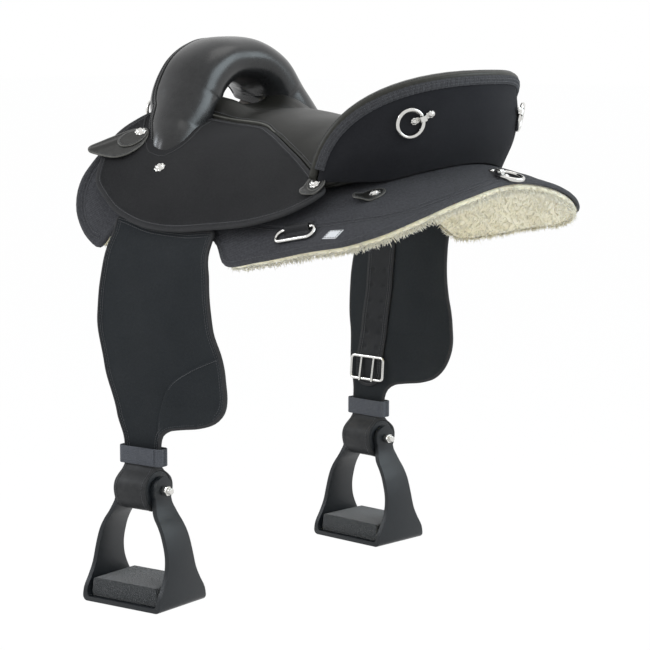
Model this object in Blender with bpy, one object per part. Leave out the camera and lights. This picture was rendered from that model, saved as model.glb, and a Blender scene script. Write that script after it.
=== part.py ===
# Endurance saddle on its horse-back frame. Metres, +Z up.
# -X is the pommel, +X the cantle, -Y the horse's left side, +Y its right side.
import bpy
import bmesh
import math
from mathutils import Matrix, Vector
from mathutils.geometry import delaunay_2d_cdt

for old in list(bpy.data.objects):
    bpy.data.objects.remove(old, do_unlink=True)

part = bpy.data.collections.new("endurance_saddle")
bpy.context.scene.collection.children.link(part)
cutters = bpy.data.collections.new("cutters")
bpy.context.scene.collection.children.link(cutters)

GAP = 0.0003
RIGHT, LEFT = 1, -1
SIDE_NAMES = {RIGHT: "right", LEFT: "left"}

# The drape is the top face of the skirt. Each station holds its place along the saddle,
# the height of the back there, the slope in degrees 300 mm round the barrel, and how late
# the slope builds up.
STATIONS = (
    (-0.280, 0.092, 68.0, 1.75),
    (-0.145, 0.068, 60.0, 1.15),
    (-0.015, 0.054, 60.0, 1.20),
    (0.100, 0.034, 47.0, 0.87),
    (0.250, 0.017, 37.0, 0.85),
    (0.335, -0.003, 33.0, 0.85),
)
SLOPE_AT = 0.300
DRAPE_STEPS = 20

# Layers, measured square to the drape.
FLEECE_THICK = 0.0115
SKIRT_THICK = 0.006
DECK = 0.016
JOCKEY_THICK = 0.0045
# Pieces seated on another are first sunk into it by this much and then cut clear of it.
SINK = 0.0020
# A cutter grown from a sheet stands out this far past the sheet's rim.
RIM_FLARE = 0.0005
STRAP_THICK = 0.003
FENDER_THICK = 0.004

GRID = 0.045


def station_value(x, column):
    """Value of one station column at x, on a smooth curve through the stations."""
    rows = STATIONS
    last = len(rows) - 1
    i = 0
    while i < last - 1 and x > rows[i + 1][0]:
        i += 1
    x0, x1 = rows[i][0], rows[i + 1][0]
    v0, v1 = rows[i][column], rows[i + 1][column]
    span = x1 - x0
    t = (x - x0) / span
    if t < 0.0:
        return v0 + t * (v1 - v0)
    if t > 1.0:
        return v1 + (t - 1.0) * (v1 - v0)
    m0 = (v1 - v0) / span
    m1 = m0
    if i > 0:
        m0 = (v1 - rows[i - 1][column]) / (x1 - rows[i - 1][0])
    if i + 2 <= last:
        m1 = (rows[i + 2][column] - v0) / (rows[i + 2][0] - x0)
    t2, t3 = t * t, t * t * t
    return ((2 * t3 - 3 * t2 + 1) * v0 + (t3 - 2 * t2 + t) * span * m0
            + (3 * t2 - 2 * t3) * v1 + (t3 - t2) * span * m1)


def smooth(t):
    t = min(1.0, max(0.0, t))
    return t * t * (3 - 2 * t)


def drape(x, s, off=0.0):
    """Point s metres round the barrel at x, off metres above the skirt's top face."""
    arc = abs(s)
    step = arc / DRAPE_STEPS
    end = math.radians(station_value(x, 2))
    power = station_value(x, 3)
    y, z = 0.0, station_value(x, 1)
    for i in range(DRAPE_STEPS):
        angle = end * ((i + 0.5) * step / SLOPE_AT) ** power
        y += math.cos(angle) * step
        z -= math.sin(angle) * step
    angle = end * (arc / SLOPE_AT) ** power
    y += off * math.sin(angle)
    z += off * math.cos(angle)
    return Vector((x, y if s >= 0 else -y, z))


def drape_at_y(x, y, off=0.0):
    """Point of the drape over the plan point x, y."""
    low, high = 0.0, 0.42
    for _ in range(24):
        mid = (low + high) / 2
        if drape(x, mid, off).y < abs(y):
            low = mid
        else:
            high = mid
    return drape(x, math.copysign(low, y), off)


def drape_frame(x, s, off=0.0):
    """Matrix seated on the drape: its Z is square to it, its X runs back along the saddle."""
    here = drape(x, s, off)
    along = (drape(x + 0.004, s, off) - drape(x - 0.004, s, off)).normalized()
    across = (drape(x, s + 0.004, off) - drape(x, s - 0.004, off)).normalized()
    out = along.cross(across).normalized()
    across = out.cross(along)
    return Matrix.Translation(here) @ Matrix((along, across, out)).transposed().to_4x4()


def material(name, colour, roughness, metallic=0.0):
    mat = bpy.data.materials.get(name)
    if mat:
        return mat
    mat = bpy.data.materials.new(name)
    mat.use_nodes = True
    shader = mat.node_tree.nodes["Principled BSDF"]
    shader.inputs["Base Color"].default_value = (*colour, 1.0)
    shader.inputs["Roughness"].default_value = roughness
    shader.inputs["Metallic"].default_value = metallic
    return mat


LOOKS = {
    "cordura": ((0.022, 0.023, 0.026), 0.85, 0.0),
    "cordura_fender": ((0.026, 0.029, 0.035), 0.85, 0.0),
    "cordura_panel": ((0.013, 0.014, 0.020), 0.85, 0.0),
    "leather_seat": ((0.045, 0.043, 0.042), 0.45, 0.0),
    "leather_pommel": ((0.022, 0.024, 0.030), 0.35, 0.0),
    "leather_trim": ((0.024, 0.023, 0.023), 0.5, 0.0),
    "fleece": ((0.80, 0.76, 0.62), 0.95, 0.0),
    "webbing": ((0.060, 0.068, 0.075), 0.8, 0.0),
    "stirrup_plastic": ((0.050, 0.056, 0.065), 0.5, 0.0),
    "foam": ((0.018, 0.019, 0.021), 0.95, 0.0),
    "nickel": ((0.78, 0.77, 0.74), 0.2, 1.0),
    "tree_polymer": ((0.10, 0.09, 0.08), 0.6, 0.0),
    "tag": ((0.80, 0.80, 0.80), 0.7, 0.0),
}


def add_object(name, mesh, look, collection=None):
    obj = bpy.data.objects.new(name, mesh)
    (collection or part).objects.link(obj)
    colour, roughness, metallic = LOOKS[look]
    mesh.materials.append(material(name + "_" + look, colour, roughness, metallic))
    return obj


def from_bmesh(name, bm, look, collection=None, round_form=True):
    bmesh.ops.recalc_face_normals(bm, faces=bm.faces)
    if bm.calc_volume(signed=True) < 0:
        bmesh.ops.reverse_faces(bm, faces=bm.faces)
    mesh = bpy.data.meshes.new(name)
    bm.to_mesh(mesh)
    bm.free()
    for face in mesh.polygons:
        face.use_smooth = round_form
    return add_object(name, mesh, look, collection)


def set_origin(obj, point):
    """Puts a moving piece's origin on its hinge, without moving the piece."""
    obj.data.transform(Matrix.Translation(-point))
    obj.location = point


def cutter_look(obj):
    obj.hide_render = True
    obj.display_type = "WIRE"
    return obj


def boolean(obj, tool, operation="DIFFERENCE"):
    mod = obj.modifiers.new(operation.lower() + "_" + tool.name, "BOOLEAN")
    mod.operation = operation
    mod.solver = "EXACT"
    mod.object = tool
    return mod


def loop_through(points, spacing):
    """Closed smooth curve through points, a corner kept where a point ends in 'c'."""
    count = len(points)
    out = []
    for i in range(count):
        p1 = Vector(points[i][:2])
        p2 = Vector(points[(i + 1) % count][:2])
        p0 = Vector(points[i - 1][:2])
        p3 = Vector(points[(i + 2) % count][:2])
        t1 = p2 - p1 if len(points[i]) > 2 else (p2 - p0) / 2
        t2 = p2 - p1 if len(points[(i + 1) % count]) > 2 else (p3 - p1) / 2
        chord = (p2 - p1).length
        if t1.length > chord:
            t1 *= chord / t1.length
        if t2.length > chord:
            t2 *= chord / t2.length
        steps = max(1, round(chord / spacing))
        for k in range(steps):
            t = k / steps
            a = 2 * t ** 3 - 3 * t ** 2 + 1
            b = t ** 3 - 2 * t ** 2 + t
            c = 3 * t ** 2 - 2 * t ** 3
            d = t ** 3 - t ** 2
            out.append(p1 * a + t1 * b + p2 * c + t2 * d)
    return out


def signed_area(loop):
    total = 0.0
    for i, p in enumerate(loop):
        q = loop[(i + 1) % len(loop)]
        total += p.x * q.y - q.x * p.y
    return total / 2


def inset_loop(loop, distance):
    out = []
    for i, p in enumerate(loop):
        back = (p - loop[i - 1]).normalized()
        ahead = (loop[(i + 1) % len(loop)] - p).normalized()
        inward = Vector((-back.y - ahead.y, back.x + ahead.x))
        if inward.length < 0.2:
            inward = Vector((-ahead.y, ahead.x))
        out.append(p + inward.normalized() * distance)
    return out


def inside(loop, point):
    hit = False
    for i, p in enumerate(loop):
        q = loop[i - 1]
        if (p.y > point.y) != (q.y > point.y):
            if point.x < (q.x - p.x) * (point.y - p.y) / (q.y - p.y) + p.x:
                hit = not hit
    return hit


def edge_distance(loop, point):
    best = 1e9
    for i, p in enumerate(loop):
        q = loop[i - 1]
        run = q - p
        t = max(0.0, min(1.0, (point - p).dot(run) / max(run.length_squared, 1e-12)))
        best = min(best, (p + run * t - point).length)
    return best


def sheet(name, outline, place, look, grid=GRID, edge=0.0015, collection=None, flare=0.0):
    """Closed sheet. outline is a loop in the sheet's own flat measure. place(u, v, t) puts a
    point in space, t from 0 on the lower face to 1 on the upper one. edge rounds the rim,
    flare moves only the rim's outermost line out."""
    if signed_area(outline) < 0:
        outline = outline[::-1]
    rim = inset_loop(outline, edge)
    us = [p.x for p in rim]
    vs = [p.y for p in rim]
    points = list(rim)
    rows = int((max(vs) - min(vs)) / (grid * 0.87)) + 2
    columns = int((max(us) - min(us)) / grid) + 2
    for r in range(rows):
        for c in range(columns):
            p = Vector((min(us) + (c + 0.5 * (r % 2)) * grid, min(vs) + r * grid * 0.87))
            if inside(rim, p) and edge_distance(rim, p) > grid * 0.55:
                points.append(p)
    count = len(rim)
    edges = [(i, (i + 1) % count) for i in range(count)]
    flat, _, faces, _, _, _ = delaunay_2d_cdt(points, edges, [], 1, 1e-7)
    bm = bmesh.new()
    top = [bm.verts.new(place(p.x, p.y, 1.0)) for p in flat]
    low = [bm.verts.new(place(p.x, p.y, 0.0)) for p in flat]
    for face in faces:
        bm.faces.new([top[i] for i in face])
        bm.faces.new([low[i] for i in reversed(face)])
    outmost = inset_loop(outline, -flare)
    high_ring = [bm.verts.new(place(p.x, p.y, 0.7)) for p in outmost]
    low_ring = [bm.verts.new(place(p.x, p.y, 0.3)) for p in outmost]
    for i in range(count):
        j = (i + 1) % count
        for a, b in ((top, high_ring), (high_ring, low_ring), (low_ring, low)):
            bm.faces.new([a[i], a[j], b[j], b[i]])
    loose = [v for v in bm.verts if not v.link_faces]
    bmesh.ops.delete(bm, geom=loose, context="VERTS")
    return from_bmesh(name, bm, look, collection)


def tube(name, centres, sections, look, collection=None, closed=False, round_form=True):
    """Loft of rings. sections(i) gives the ring's points about its centre."""
    bm = bmesh.new()
    rings = []
    for i, centre in enumerate(centres):
        rings.append([bm.verts.new(centre + p) for p in sections(i)])
    count = len(rings[0])
    pairs = list(zip(rings, rings[1:]))
    if closed:
        pairs.append((rings[-1], rings[0]))
    for a, b in pairs:
        for k in range(count):
            m = (k + 1) % count
            bm.faces.new([a[k], a[m], b[m], b[k]])
    if not closed:
        bm.faces.new(rings[0][::-1])
        bm.faces.new(rings[-1])
    return from_bmesh(name, bm, look, collection, round_form)


def ellipse(axis_a, axis_b, half_a, half_b, sides, power=2.0):
    """Ring of a superellipse spanned by two unit vectors."""
    points = []
    for k in range(sides):
        angle = 2 * math.pi * k / sides
        c, s = math.cos(angle), math.sin(angle)
        a = math.copysign(abs(c) ** (2 / power), c) * half_a
        b = math.copysign(abs(s) ** (2 / power), s) * half_b
        points.append(axis_a * a + axis_b * b)
    return points


def bent_wire(name, points, radius, look, closed=False, sides=1):
    """Round bar along points: a bevelled curve with filled ends."""
    curve = bpy.data.curves.new(name, "CURVE")
    curve.dimensions = "3D"
    curve.bevel_depth = radius
    curve.bevel_resolution = sides
    curve.use_fill_caps = not closed
    spline = curve.splines.new("POLY")
    spline.points.add(len(points) - 1)
    for node, p in zip(spline.points, points):
        node.co = (*p, 1.0)
    spline.use_cyclic_u = closed
    draft = bpy.data.objects.new(name + "_draft", curve)
    part.objects.link(draft)
    bpy.context.view_layer.update()
    graph = bpy.context.evaluated_depsgraph_get()
    mesh = bpy.data.meshes.new_from_object(draft.evaluated_get(graph))
    bpy.data.objects.remove(draft, do_unlink=True)
    bpy.data.curves.remove(curve)
    mesh.materials.clear()
    bm = bmesh.new()
    bm.from_mesh(mesh)
    bpy.data.meshes.remove(mesh)
    bmesh.ops.remove_doubles(bm, verts=bm.verts, dist=1e-6)
    return from_bmesh(name, bm, look)


def lathe(name, profile, matrix, look, sides=20, collection=None):
    """Solid of revolution about Z. profile runs from the axis out and back to the axis."""
    bm = bmesh.new()
    rings = []
    for radius, height in profile:
        if radius < 1e-6:
            rings.append([bm.verts.new((0, 0, height))])
        else:
            rings.append([bm.verts.new((radius * math.cos(2 * math.pi * k / sides),
                                        radius * math.sin(2 * math.pi * k / sides), height))
                          for k in range(sides)])
    closed = len(rings[0]) > 1
    pairs = list(zip(rings, rings[1:]))
    if closed:
        pairs.append((rings[-1], rings[0]))
    for a, b in pairs:
        for k in range(sides):
            m = (k + 1) % sides
            if len(a) == 1:
                bm.faces.new([a[0], b[m], b[k]])
            elif len(b) == 1:
                bm.faces.new([a[k], a[m], b[0]])
            else:
                bm.faces.new([a[k], a[m], b[m], b[k]])
    bm.transform(matrix)
    return from_bmesh(name, bm, look, collection)


def prism(name, outline, low, high, matrix, look, collection=None, bevel=0.0):
    """Flat outline in XY extruded from low to high, then placed."""
    if signed_area([Vector(p) for p in outline]) < 0:
        outline = outline[::-1]
    bm = bmesh.new()
    base = [bm.verts.new((p[0], p[1], low)) for p in outline]
    top = [bm.verts.new((p[0], p[1], high)) for p in outline]
    bm.faces.new(base[::-1])
    bm.faces.new(top)
    count = len(base)
    for i in range(count):
        j = (i + 1) % count
        bm.faces.new([base[i], base[j], top[j], top[i]])
    if bevel > 0:
        rims = [e for e in bm.edges if abs(e.verts[0].co.z - e.verts[1].co.z) < 1e-9]
        bmesh.ops.bevel(bm, geom=rims, offset=bevel, segments=1, affect="EDGES", profile=0.5)
    bm.transform(matrix)
    return from_bmesh(name, bm, look, collection, round_form=False)


# Skirt and its fleece lining.
# Half outlines run from the spine round the right side: x, then metres round the barrel.
GULLET_HALF = 0.040
GULLET_REAR = 0.170
SKIRT_HALF = (
    (-0.243, GULLET_HALF, "c"), (-0.251, 0.124), (-0.255, 0.184), (-0.262, 0.240),
    (-0.268, 0.288), (-0.262, 0.328), (-0.240, 0.354), (-0.207, 0.360), (-0.183, 0.325),
    (-0.150, 0.303), (-0.060, 0.301), (0.000, 0.306), (0.036, 0.334), (0.094, 0.317),
    (0.165, 0.297), (0.227, 0.283), (0.258, 0.264), (0.281, 0.237), (0.304, 0.183),
    (0.320, 0.104), (0.322, 0.040),
)
SLOT_TIP = ((GULLET_REAR - 0.02, -GULLET_HALF), (GULLET_REAR, -0.015),
            (GULLET_REAR, 0.015), (GULLET_REAR - 0.02, GULLET_HALF))


def mirrored(outline, side):
    return [(p[0], p[1] * side, *p[2:]) for p in outline]


def both_sides(half):
    return list(half) + mirrored(reversed(half), LEFT)


def drape_sheet(name, outline, low, high, look, grid=GRID, edge=0.0015, spacing=0.030,
                collection=None):
    def place(u, v, t):
        return drape(u, v, low + (high - low) * t)
    flare = RIM_FLARE if collection == cutters else 0.0
    return sheet(name, loop_through(outline, spacing), place, look, grid, edge, collection, flare)


SKIRT_OUTLINE = both_sides(SKIRT_HALF) + list(SLOT_TIP)
SKIRT_EDGE = 0.003
drape_sheet("skirt", SKIRT_OUTLINE, -SKIRT_THICK, 0.0, "cordura", edge=SKIRT_EDGE)
skirt_clear = cutter_look(drape_sheet("skirt_clear", SKIRT_OUTLINE, -SKIRT_THICK, GAP, "cordura",
                                      edge=SKIRT_EDGE, collection=cutters))
drape_sheet("fleece_lining", SKIRT_OUTLINE, -SKIRT_THICK - GAP - FLEECE_THICK, -SKIRT_THICK - GAP,
            "fleece", edge=SKIRT_EDGE)

# Tree: two bars here, the fork with the pommel, the cantle wall with the cantle.
BAR_INNER, BAR_OUTER = 0.046, 0.122
BAR_FRONT, BAR_REAR = -0.236, 0.205
BAR_OUTLINE = (
    (BAR_FRONT, 0.060), (BAR_FRONT, 0.108), (-0.205, BAR_OUTER), (-0.060, BAR_OUTER - 0.006),
    (0.060, BAR_OUTER - 0.008), (0.170, BAR_OUTER), (BAR_REAR, 0.105), (BAR_REAR, 0.062),
    (0.170, BAR_INNER), (-0.200, BAR_INNER),
)


tree_bars, bar_clear = {}, {}
for side in (RIGHT, LEFT):
    end = SIDE_NAMES[side]
    tree_bars[side] = drape_sheet("tree_bar_" + end, mirrored(BAR_OUTLINE, side), -SINK,
                                  DECK, "tree_polymer", edge=0.003, spacing=0.040)
    bar_clear[side] = cutter_look(drape_sheet("bar_clear_" + end, mirrored(BAR_OUTLINE, side), -SINK,
                                              DECK + GAP, "tree_polymer", edge=0.003,
                                              spacing=0.040, collection=cutters))

# Pommel: a padded arch on splayed feet, hollow round the fork.
# Rows: a point of the arch's half, half its thickness along the saddle, half of that across.
POMMEL_HALF = (
    (-0.207, 0.000, 0.157, 0.054, 0.035),
    (-0.206, 0.040, 0.152, 0.054, 0.037),
    (-0.204, 0.074, 0.131, 0.054, 0.042),
    (-0.201, 0.094, 0.101, 0.054, 0.046),
    (-0.196, 0.105, 0.075, 0.052, 0.048),
    (-0.1855, 0.132, 0.046, 0.041, 0.048),
    (-0.179, 0.153, 0.022, 0.020, 0.044),
    (-0.176, 0.160, -0.012, 0.016, 0.034),
)
POMMEL_SIDES = 16
POMMEL_CLEAR = 0.0010
FORK_HALF_ALONG, FORK_HALF_ACROSS = 0.018, 0.008
FORK_CLEAR = 0.0010
ALONG = Vector((1, 0, 0))


def arch_path(rows):
    """Rows of the right half mirrored to the left one, spaced on a smooth curve."""
    whole = [(r[0], -r[1], *r[2:]) for r in reversed(rows[1:])] + list(rows)
    fine = []
    for i in range(len(whole) - 1):
        p0 = whole[max(i - 1, 0)]
        p1, p2 = whole[i], whole[i + 1]
        p3 = whole[min(i + 2, len(whole) - 1)]
        for k in range(2):
            t = k / 2
            row = []
            for a, b, c, d in zip(p0, p1, p2, p3):
                row.append(0.5 * (2 * b + (c - a) * t + (2 * a - 5 * b + 4 * c - d) * t * t
                                  + (3 * b - a - 3 * c + d) * t ** 3))
            fine.append(row)
    fine.append(list(whole[-1]))
    return fine


def arch_tube(name, rows, grow, look, collection=None, sides=POMMEL_SIDES, power=2.2):
    path = arch_path(rows)
    centres = [Vector(r[:3]) for r in path]
    tangents = []
    for i in range(len(centres)):
        a, b = centres[max(i - 1, 0)], centres[min(i + 1, len(centres) - 1)]
        tangents.append((b - a).normalized())

    def ring(i):
        across = tangents[i].cross(ALONG).normalized()
        along = across.cross(tangents[i]).normalized()
        return ellipse(along, across, path[i][3] + grow, path[i][4] + grow, sides, power)
    return tube(name, centres, ring, look, collection)


SLAB_GRID = 0.028
SLAB_DEEP = 0.095


def block_outline(u_low, u_high, v_low, v_high, spacing):
    """Rectangle with points along its sides."""
    corners = [Vector((u_low, v_low)), Vector((u_high, v_low)),
               Vector((u_high, v_high)), Vector((u_low, v_high))]
    dense = []
    for i in range(4):
        a, b = corners[i], corners[(i + 1) % 4]
        steps = max(2, round((b - a).length / spacing))
        dense += [a + (b - a) * k / steps for k in range(steps)]
    return dense


def slab(name, low, high, x_low, x_high, reach):
    """Block of the space between two heights over the drape."""
    def place(u, v, t):
        return drape(u, v, low + (high - low) * t)
    outline = block_outline(x_low, x_high, -reach, reach, SLAB_GRID)
    return cutter_look(sheet(name, outline, place, "foam", SLAB_GRID, 0.0005, cutters))


pommel = arch_tube("pommel_cover", POMMEL_HALF, 0.0, "leather_pommel")
under_pommel = slab("under_pommel", -SLAB_DEEP, DECK + GAP, -0.300, -0.080, 0.260)
FORK_IN = 0.93
leg_x, leg_y, leg_z = POMMEL_HALF[3][:3]
FORK_LINE = [(x, y * FORK_IN, z) for x, y, z, _, _ in POMMEL_HALF[:4]]
FORK_LINE += [(leg_x + 0.009, leg_y + 0.004, leg_z - 0.019), (leg_x + 0.013, leg_y + 0.007, leg_z - 0.051)]
FORK_HALF = [(*point, FORK_HALF_ALONG, FORK_HALF_ACROSS) for point in FORK_LINE]
fork_bore = cutter_look(arch_tube("fork_bore", FORK_HALF, FORK_CLEAR, "tree_polymer", cutters, 8, 3.0))
boolean(pommel, fork_bore)
boolean(pommel, under_pommel)
fork = arch_tube("tree_fork", FORK_HALF, 0.0, "tree_polymer", None, 8, 3.0)
boolean(fork, under_pommel)
for side in (RIGHT, LEFT):
    boolean(pommel, bar_clear[side])
    boolean(fork, bar_clear[side])

# Seat: formed leather that is thin at its side edges and sweeps up to the cantle.
# Side edge: x, metres round the barrel.
SEAT_SIDE = (
    (-0.170, 0.094, "c"), (-0.100, 0.094), (-0.044, 0.0955), (-0.019, 0.106), (0.004, 0.116),
    (0.032, 0.129), (0.060, 0.141), (0.090, 0.157), (0.118, 0.174), (0.138, 0.190, "c"),
)
CANTLE_CENTRE = 0.016
CANTLE_LEAN = 0.22
CANTLE_LEAN_FROM = 0.070
SEAT_REAR_RADIUS = 0.224
# The seat is made this wide at the back and then cut off at the leaning cantle.
SEAT_SPARE_RADIUS = SEAT_REAR_RADIUS + 0.014
WALL_THICK = 0.008
PANEL_THICK = 0.010
CANTLE_HALF_ARC = 0.252
CANTLE_TOP = 0.149
CANTLE_FOOT = -0.004
CANTLE_POWER = 2.6
CANTLE_SEATING = 0.0012
RIM_HALF_WIDE = 0.0135
RIM_HALF_HIGH = 0.0065
ARC_RADIUS = 0.245
# Height of the seat above its deck on the spine, by station.
SEAT_CROWN = ((-0.150, 0.005), (-0.110, 0.007), (-0.075, 0.012), (-0.020, 0.010),
              (0.040, 0.013), (0.090, 0.018), (0.150, 0.030), (0.260, 0.036))
SEAT_EDGE_THICK = 0.0045
SEAT_EDGE_LIFT = 0.0035
EAR_AT, EAR_WIDE, EAR_HIGH = 0.064, 0.026, 0.019


def along_rows(x, rows):
    if x <= rows[0][0]:
        return rows[0][1]
    for (x0, v0), (x1, v1) in zip(rows, rows[1:]):
        if x <= x1:
            return v0 + (v1 - v0) * smooth((x - x0) / (x1 - x0))
    return rows[-1][1]


def seat_half_width(x):
    side_rows = [(p[0], p[1]) for p in SEAT_SIDE]
    if x <= side_rows[0][0]:
        return side_rows[0][1]
    for (x0, v0), (x1, v1) in zip(side_rows, side_rows[1:]):
        if x <= x1:
            return v0 + (v1 - v0) * (x - x0) / (x1 - x0)
    return side_rows[-1][1]


def cantle_top_at(arc):
    """Height of the cantle's outline, arc metres round from its middle."""
    share = min(1.0, abs(arc) / CANTLE_HALF_ARC)
    return CANTLE_FOOT + (CANTLE_TOP - CANTLE_FOOT) * (1 - share ** CANTLE_POWER) ** (1 / CANTLE_POWER)


def seat_top(x, s):
    """Height of the seat's leather above the drape."""
    half = seat_half_width(x)
    across = min(1.0, abs(s) / half)
    edge = SEAT_EDGE_THICK + SEAT_EDGE_LIFT * smooth((-0.010 - x) / 0.050)
    high = edge + (along_rows(x, SEAT_CROWN) - edge) * (1 - across ** 3.2)
    front = smooth((-0.085 - x) / 0.060)
    ear = front * EAR_HIGH * math.exp(-((abs(s) - EAR_AT) / EAR_WIDE) ** 2)
    return DECK + high + ear * smooth((1 - across) / 0.12)


def seat_rise(x, s):
    """Extra height where the seat sweeps up to the cantle's rim."""
    here = drape(x, s)
    dx, dy = x - CANTLE_CENTRE, here.y
    reach = math.hypot(dx, dy)
    if dx <= 0:
        return 0.0
    near = smooth(1 - (SEAT_REAR_RADIUS - reach) / 0.105)
    arc = math.atan2(dy, dx) * ARC_RADIUS
    target = cantle_top_at(arc) - 0.014 - here.z
    return max(0.0, target - seat_top(x, s)) * near ** 1.3


def seat_place(u, v, t):
    low = drape(u, v, DECK - SINK)
    high = drape(u, v, seat_top(u, v))
    high.z += seat_rise(u, v)
    return low + (high - low) * t


def seat_outline():
    rear = []
    for k in range(13):
        angle = math.radians(-47.5 + 95.0 * k / 12)
        x = CANTLE_CENTRE + SEAT_SPARE_RADIUS * math.cos(angle)
        y = SEAT_SPARE_RADIUS * math.sin(angle)
        low, high = 0.0, 0.40
        for _ in range(24):
            mid = (low + high) / 2
            if drape(x, mid, DECK).y < abs(y):
                low = mid
            else:
                high = mid
        rear.append((x, math.copysign(low, y), "c"))
    return mirrored(SEAT_SIDE, LEFT) + rear + list(reversed(SEAT_SIDE))


seat = sheet("seat", loop_through(seat_outline(), 0.030), seat_place, "leather_seat", 0.030, 0.002)
pommel_clear = cutter_look(arch_tube("pommel_clear", POMMEL_HALF, POMMEL_CLEAR, "leather_pommel", cutters))
boolean(seat, pommel_clear)
for side in (RIGHT, LEFT):
    boolean(seat, bar_clear[side])

# Cantle: wall, padded back panel and rolled rim.
def cantle_point(arc, height, radius):
    """Point of the cantle: arc metres round it, height over the frame, radius of its layer."""
    angle = arc / ARC_RADIUS
    lean = CANTLE_LEAN * (height - CANTLE_LEAN_FROM)
    return Vector((CANTLE_CENTRE + lean + radius * math.cos(angle), radius * math.sin(angle), height))


def cantle_foot(arc, radius):
    """Lowest height of a cantle layer that ends at radius, seated over the skirt."""
    angle = arc / ARC_RADIUS
    seated = -1.0
    for part_radius in (radius - PANEL_THICK, radius):
        lean = CANTLE_LEAN * (seated - CANTLE_LEAN_FROM) if seated > -1 else -0.010
        x = CANTLE_CENTRE + lean + part_radius * math.cos(angle)
        seated = max(seated, drape_at_y(x, part_radius * math.sin(angle)).z + CANTLE_SEATING)
    return max(seated, CANTLE_FOOT + 0.004)


def cantle_outline(inset, radius):
    top = []
    steps = 24
    for k in range(steps + 1):
        angle = math.pi * k / steps
        c, s = math.cos(angle), math.sin(angle)
        a = math.copysign(abs(c) ** (2 / CANTLE_POWER), c) * (CANTLE_HALF_ARC - inset)
        h = CANTLE_FOOT + abs(s) ** (2 / CANTLE_POWER) * (CANTLE_TOP - CANTLE_FOOT - inset)
        if h > cantle_foot(a, radius) + 0.002:
            top.append(Vector((a, h)))
    ends = top[-1].x, top[0].x
    foot = []
    for k in range(13):
        a = ends[0] + (ends[1] - ends[0]) * k / 12
        foot.append(Vector((a, cantle_foot(a, radius))))
    return top + foot


def cantle_layer(name, inner, outer, look, inset, crown=0.0, grow=0.0, collection=None):
    outline = cantle_outline(inset, outer)

    def place(u, v, t):
        swell = 0.0
        if crown and t > 0.9:
            swell = crown * smooth(edge_distance(outline, Vector((u, v))) / 0.05)
        return cantle_point(u, v, inner + (outer + grow - inner) * t + swell)
    return sheet(name, outline, place, look, CANTLE_GRID, 0.0012, collection)


CANTLE_GRID = 0.036
PANEL_CROWN = 0.010
WALL_INNER = SEAT_REAR_RADIUS + 0.0015
WALL_OUTER = WALL_INNER + WALL_THICK
SEAT_TO_WALL = 0.0010
PANEL_INNER = WALL_OUTER + GAP
PANEL_OUTER = PANEL_INNER + PANEL_THICK
RIM_INSET = 2 * RIM_HALF_HIGH + GAP
wall = cantle_layer("tree_cantle", WALL_INNER, WALL_OUTER, "tree_polymer", RIM_INSET)
panel = cantle_layer("cantle_back_panel", PANEL_INNER, PANEL_OUTER, "cordura_panel", RIM_INSET, PANEL_CROWN)
panel_clear = cutter_look(cantle_layer("panel_clear", PANEL_INNER, PANEL_OUTER, "cordura_panel",
                                       RIM_INSET, PANEL_CROWN, GAP, cutters))

rim_path = cantle_outline(RIM_HALF_HIGH, PANEL_OUTER)[:-13]
rim_radius = PANEL_OUTER - RIM_HALF_WIDE + 0.001


def rim_frame(i):
    a, b = rim_path[max(i - 1, 0)], rim_path[min(i + 1, len(rim_path) - 1)]
    ahead = (cantle_point(b.x, b.y, rim_radius) - cantle_point(a.x, a.y, rim_radius)).normalized()
    here = rim_path[i]
    out = cantle_point(here.x, here.y, rim_radius + 0.01) - cantle_point(here.x, here.y, rim_radius)
    out = (out - ahead * out.dot(ahead)).normalized()
    return out, ahead.cross(out).normalized()


def rim_section(i):
    out, up = rim_frame(i)
    return ellipse(out, up, RIM_HALF_WIDE, RIM_HALF_HIGH, 10, 2.6)


rim_centres = [cantle_point(p.x, p.y, rim_radius) for p in rim_path]
tube("cantle_rim", rim_centres, rim_section, "leather_seat")


def rim_clear_section(i):
    out, up = rim_frame(i)
    return ellipse(out, up, RIM_HALF_WIDE + 2 * GAP, RIM_HALF_HIGH + 2 * GAP, 10, 2.6)


clear_centres = list(rim_centres)
for end_at, beside in ((0, 1), (-1, -2)):
    off_end = (rim_centres[end_at] - rim_centres[beside]).normalized()
    clear_centres[end_at] = rim_centres[end_at] + off_end * 3 * GAP
rim_clear = cutter_look(tube("rim_clear", clear_centres, rim_clear_section, "leather_seat", cutters))
for piece in (seat, wall, panel):
    boolean(piece, rim_clear)


def behind_seat_place(u, v, t):
    return cantle_point(u, v, WALL_INNER - SEAT_TO_WALL + 0.05 * t)


behind_seat = cutter_look(sheet("behind_seat", block_outline(-0.300, 0.300, -0.030, 0.200, CANTLE_GRID),
                                behind_seat_place, "foam", CANTLE_GRID, 0.0012, cutters))
boolean(seat, behind_seat)
for side in (RIGHT, LEFT):
    boolean(wall, bar_clear[side])

# Jockeys: the large side panels over the fenders.
SEAT_TO_JOCKEY = 0.0007
JOCKEY_LOWER = (
    (-0.230, 0.262), (-0.222, 0.280), (-0.200, 0.293), (-0.172, 0.304), (-0.111, 0.311),
    (-0.038, 0.307), (0.053, 0.283), (0.113, 0.252), (0.138, 0.228), (0.149, 0.207),
    (0.146, 0.193),
)
JOCKEY_FRONT = ((-0.135, 0.095), (-0.218, 0.120), (-0.234, 0.170), (-0.238, 0.220))


def jockey_outline():
    upper = [(p[0], p[1] + SEAT_TO_JOCKEY + (0.0006 if p[0] > 0 else 0.0))
             for p in reversed(SEAT_SIDE[1:-1])]
    return list(JOCKEY_LOWER) + upper + list(JOCKEY_FRONT)


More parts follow.
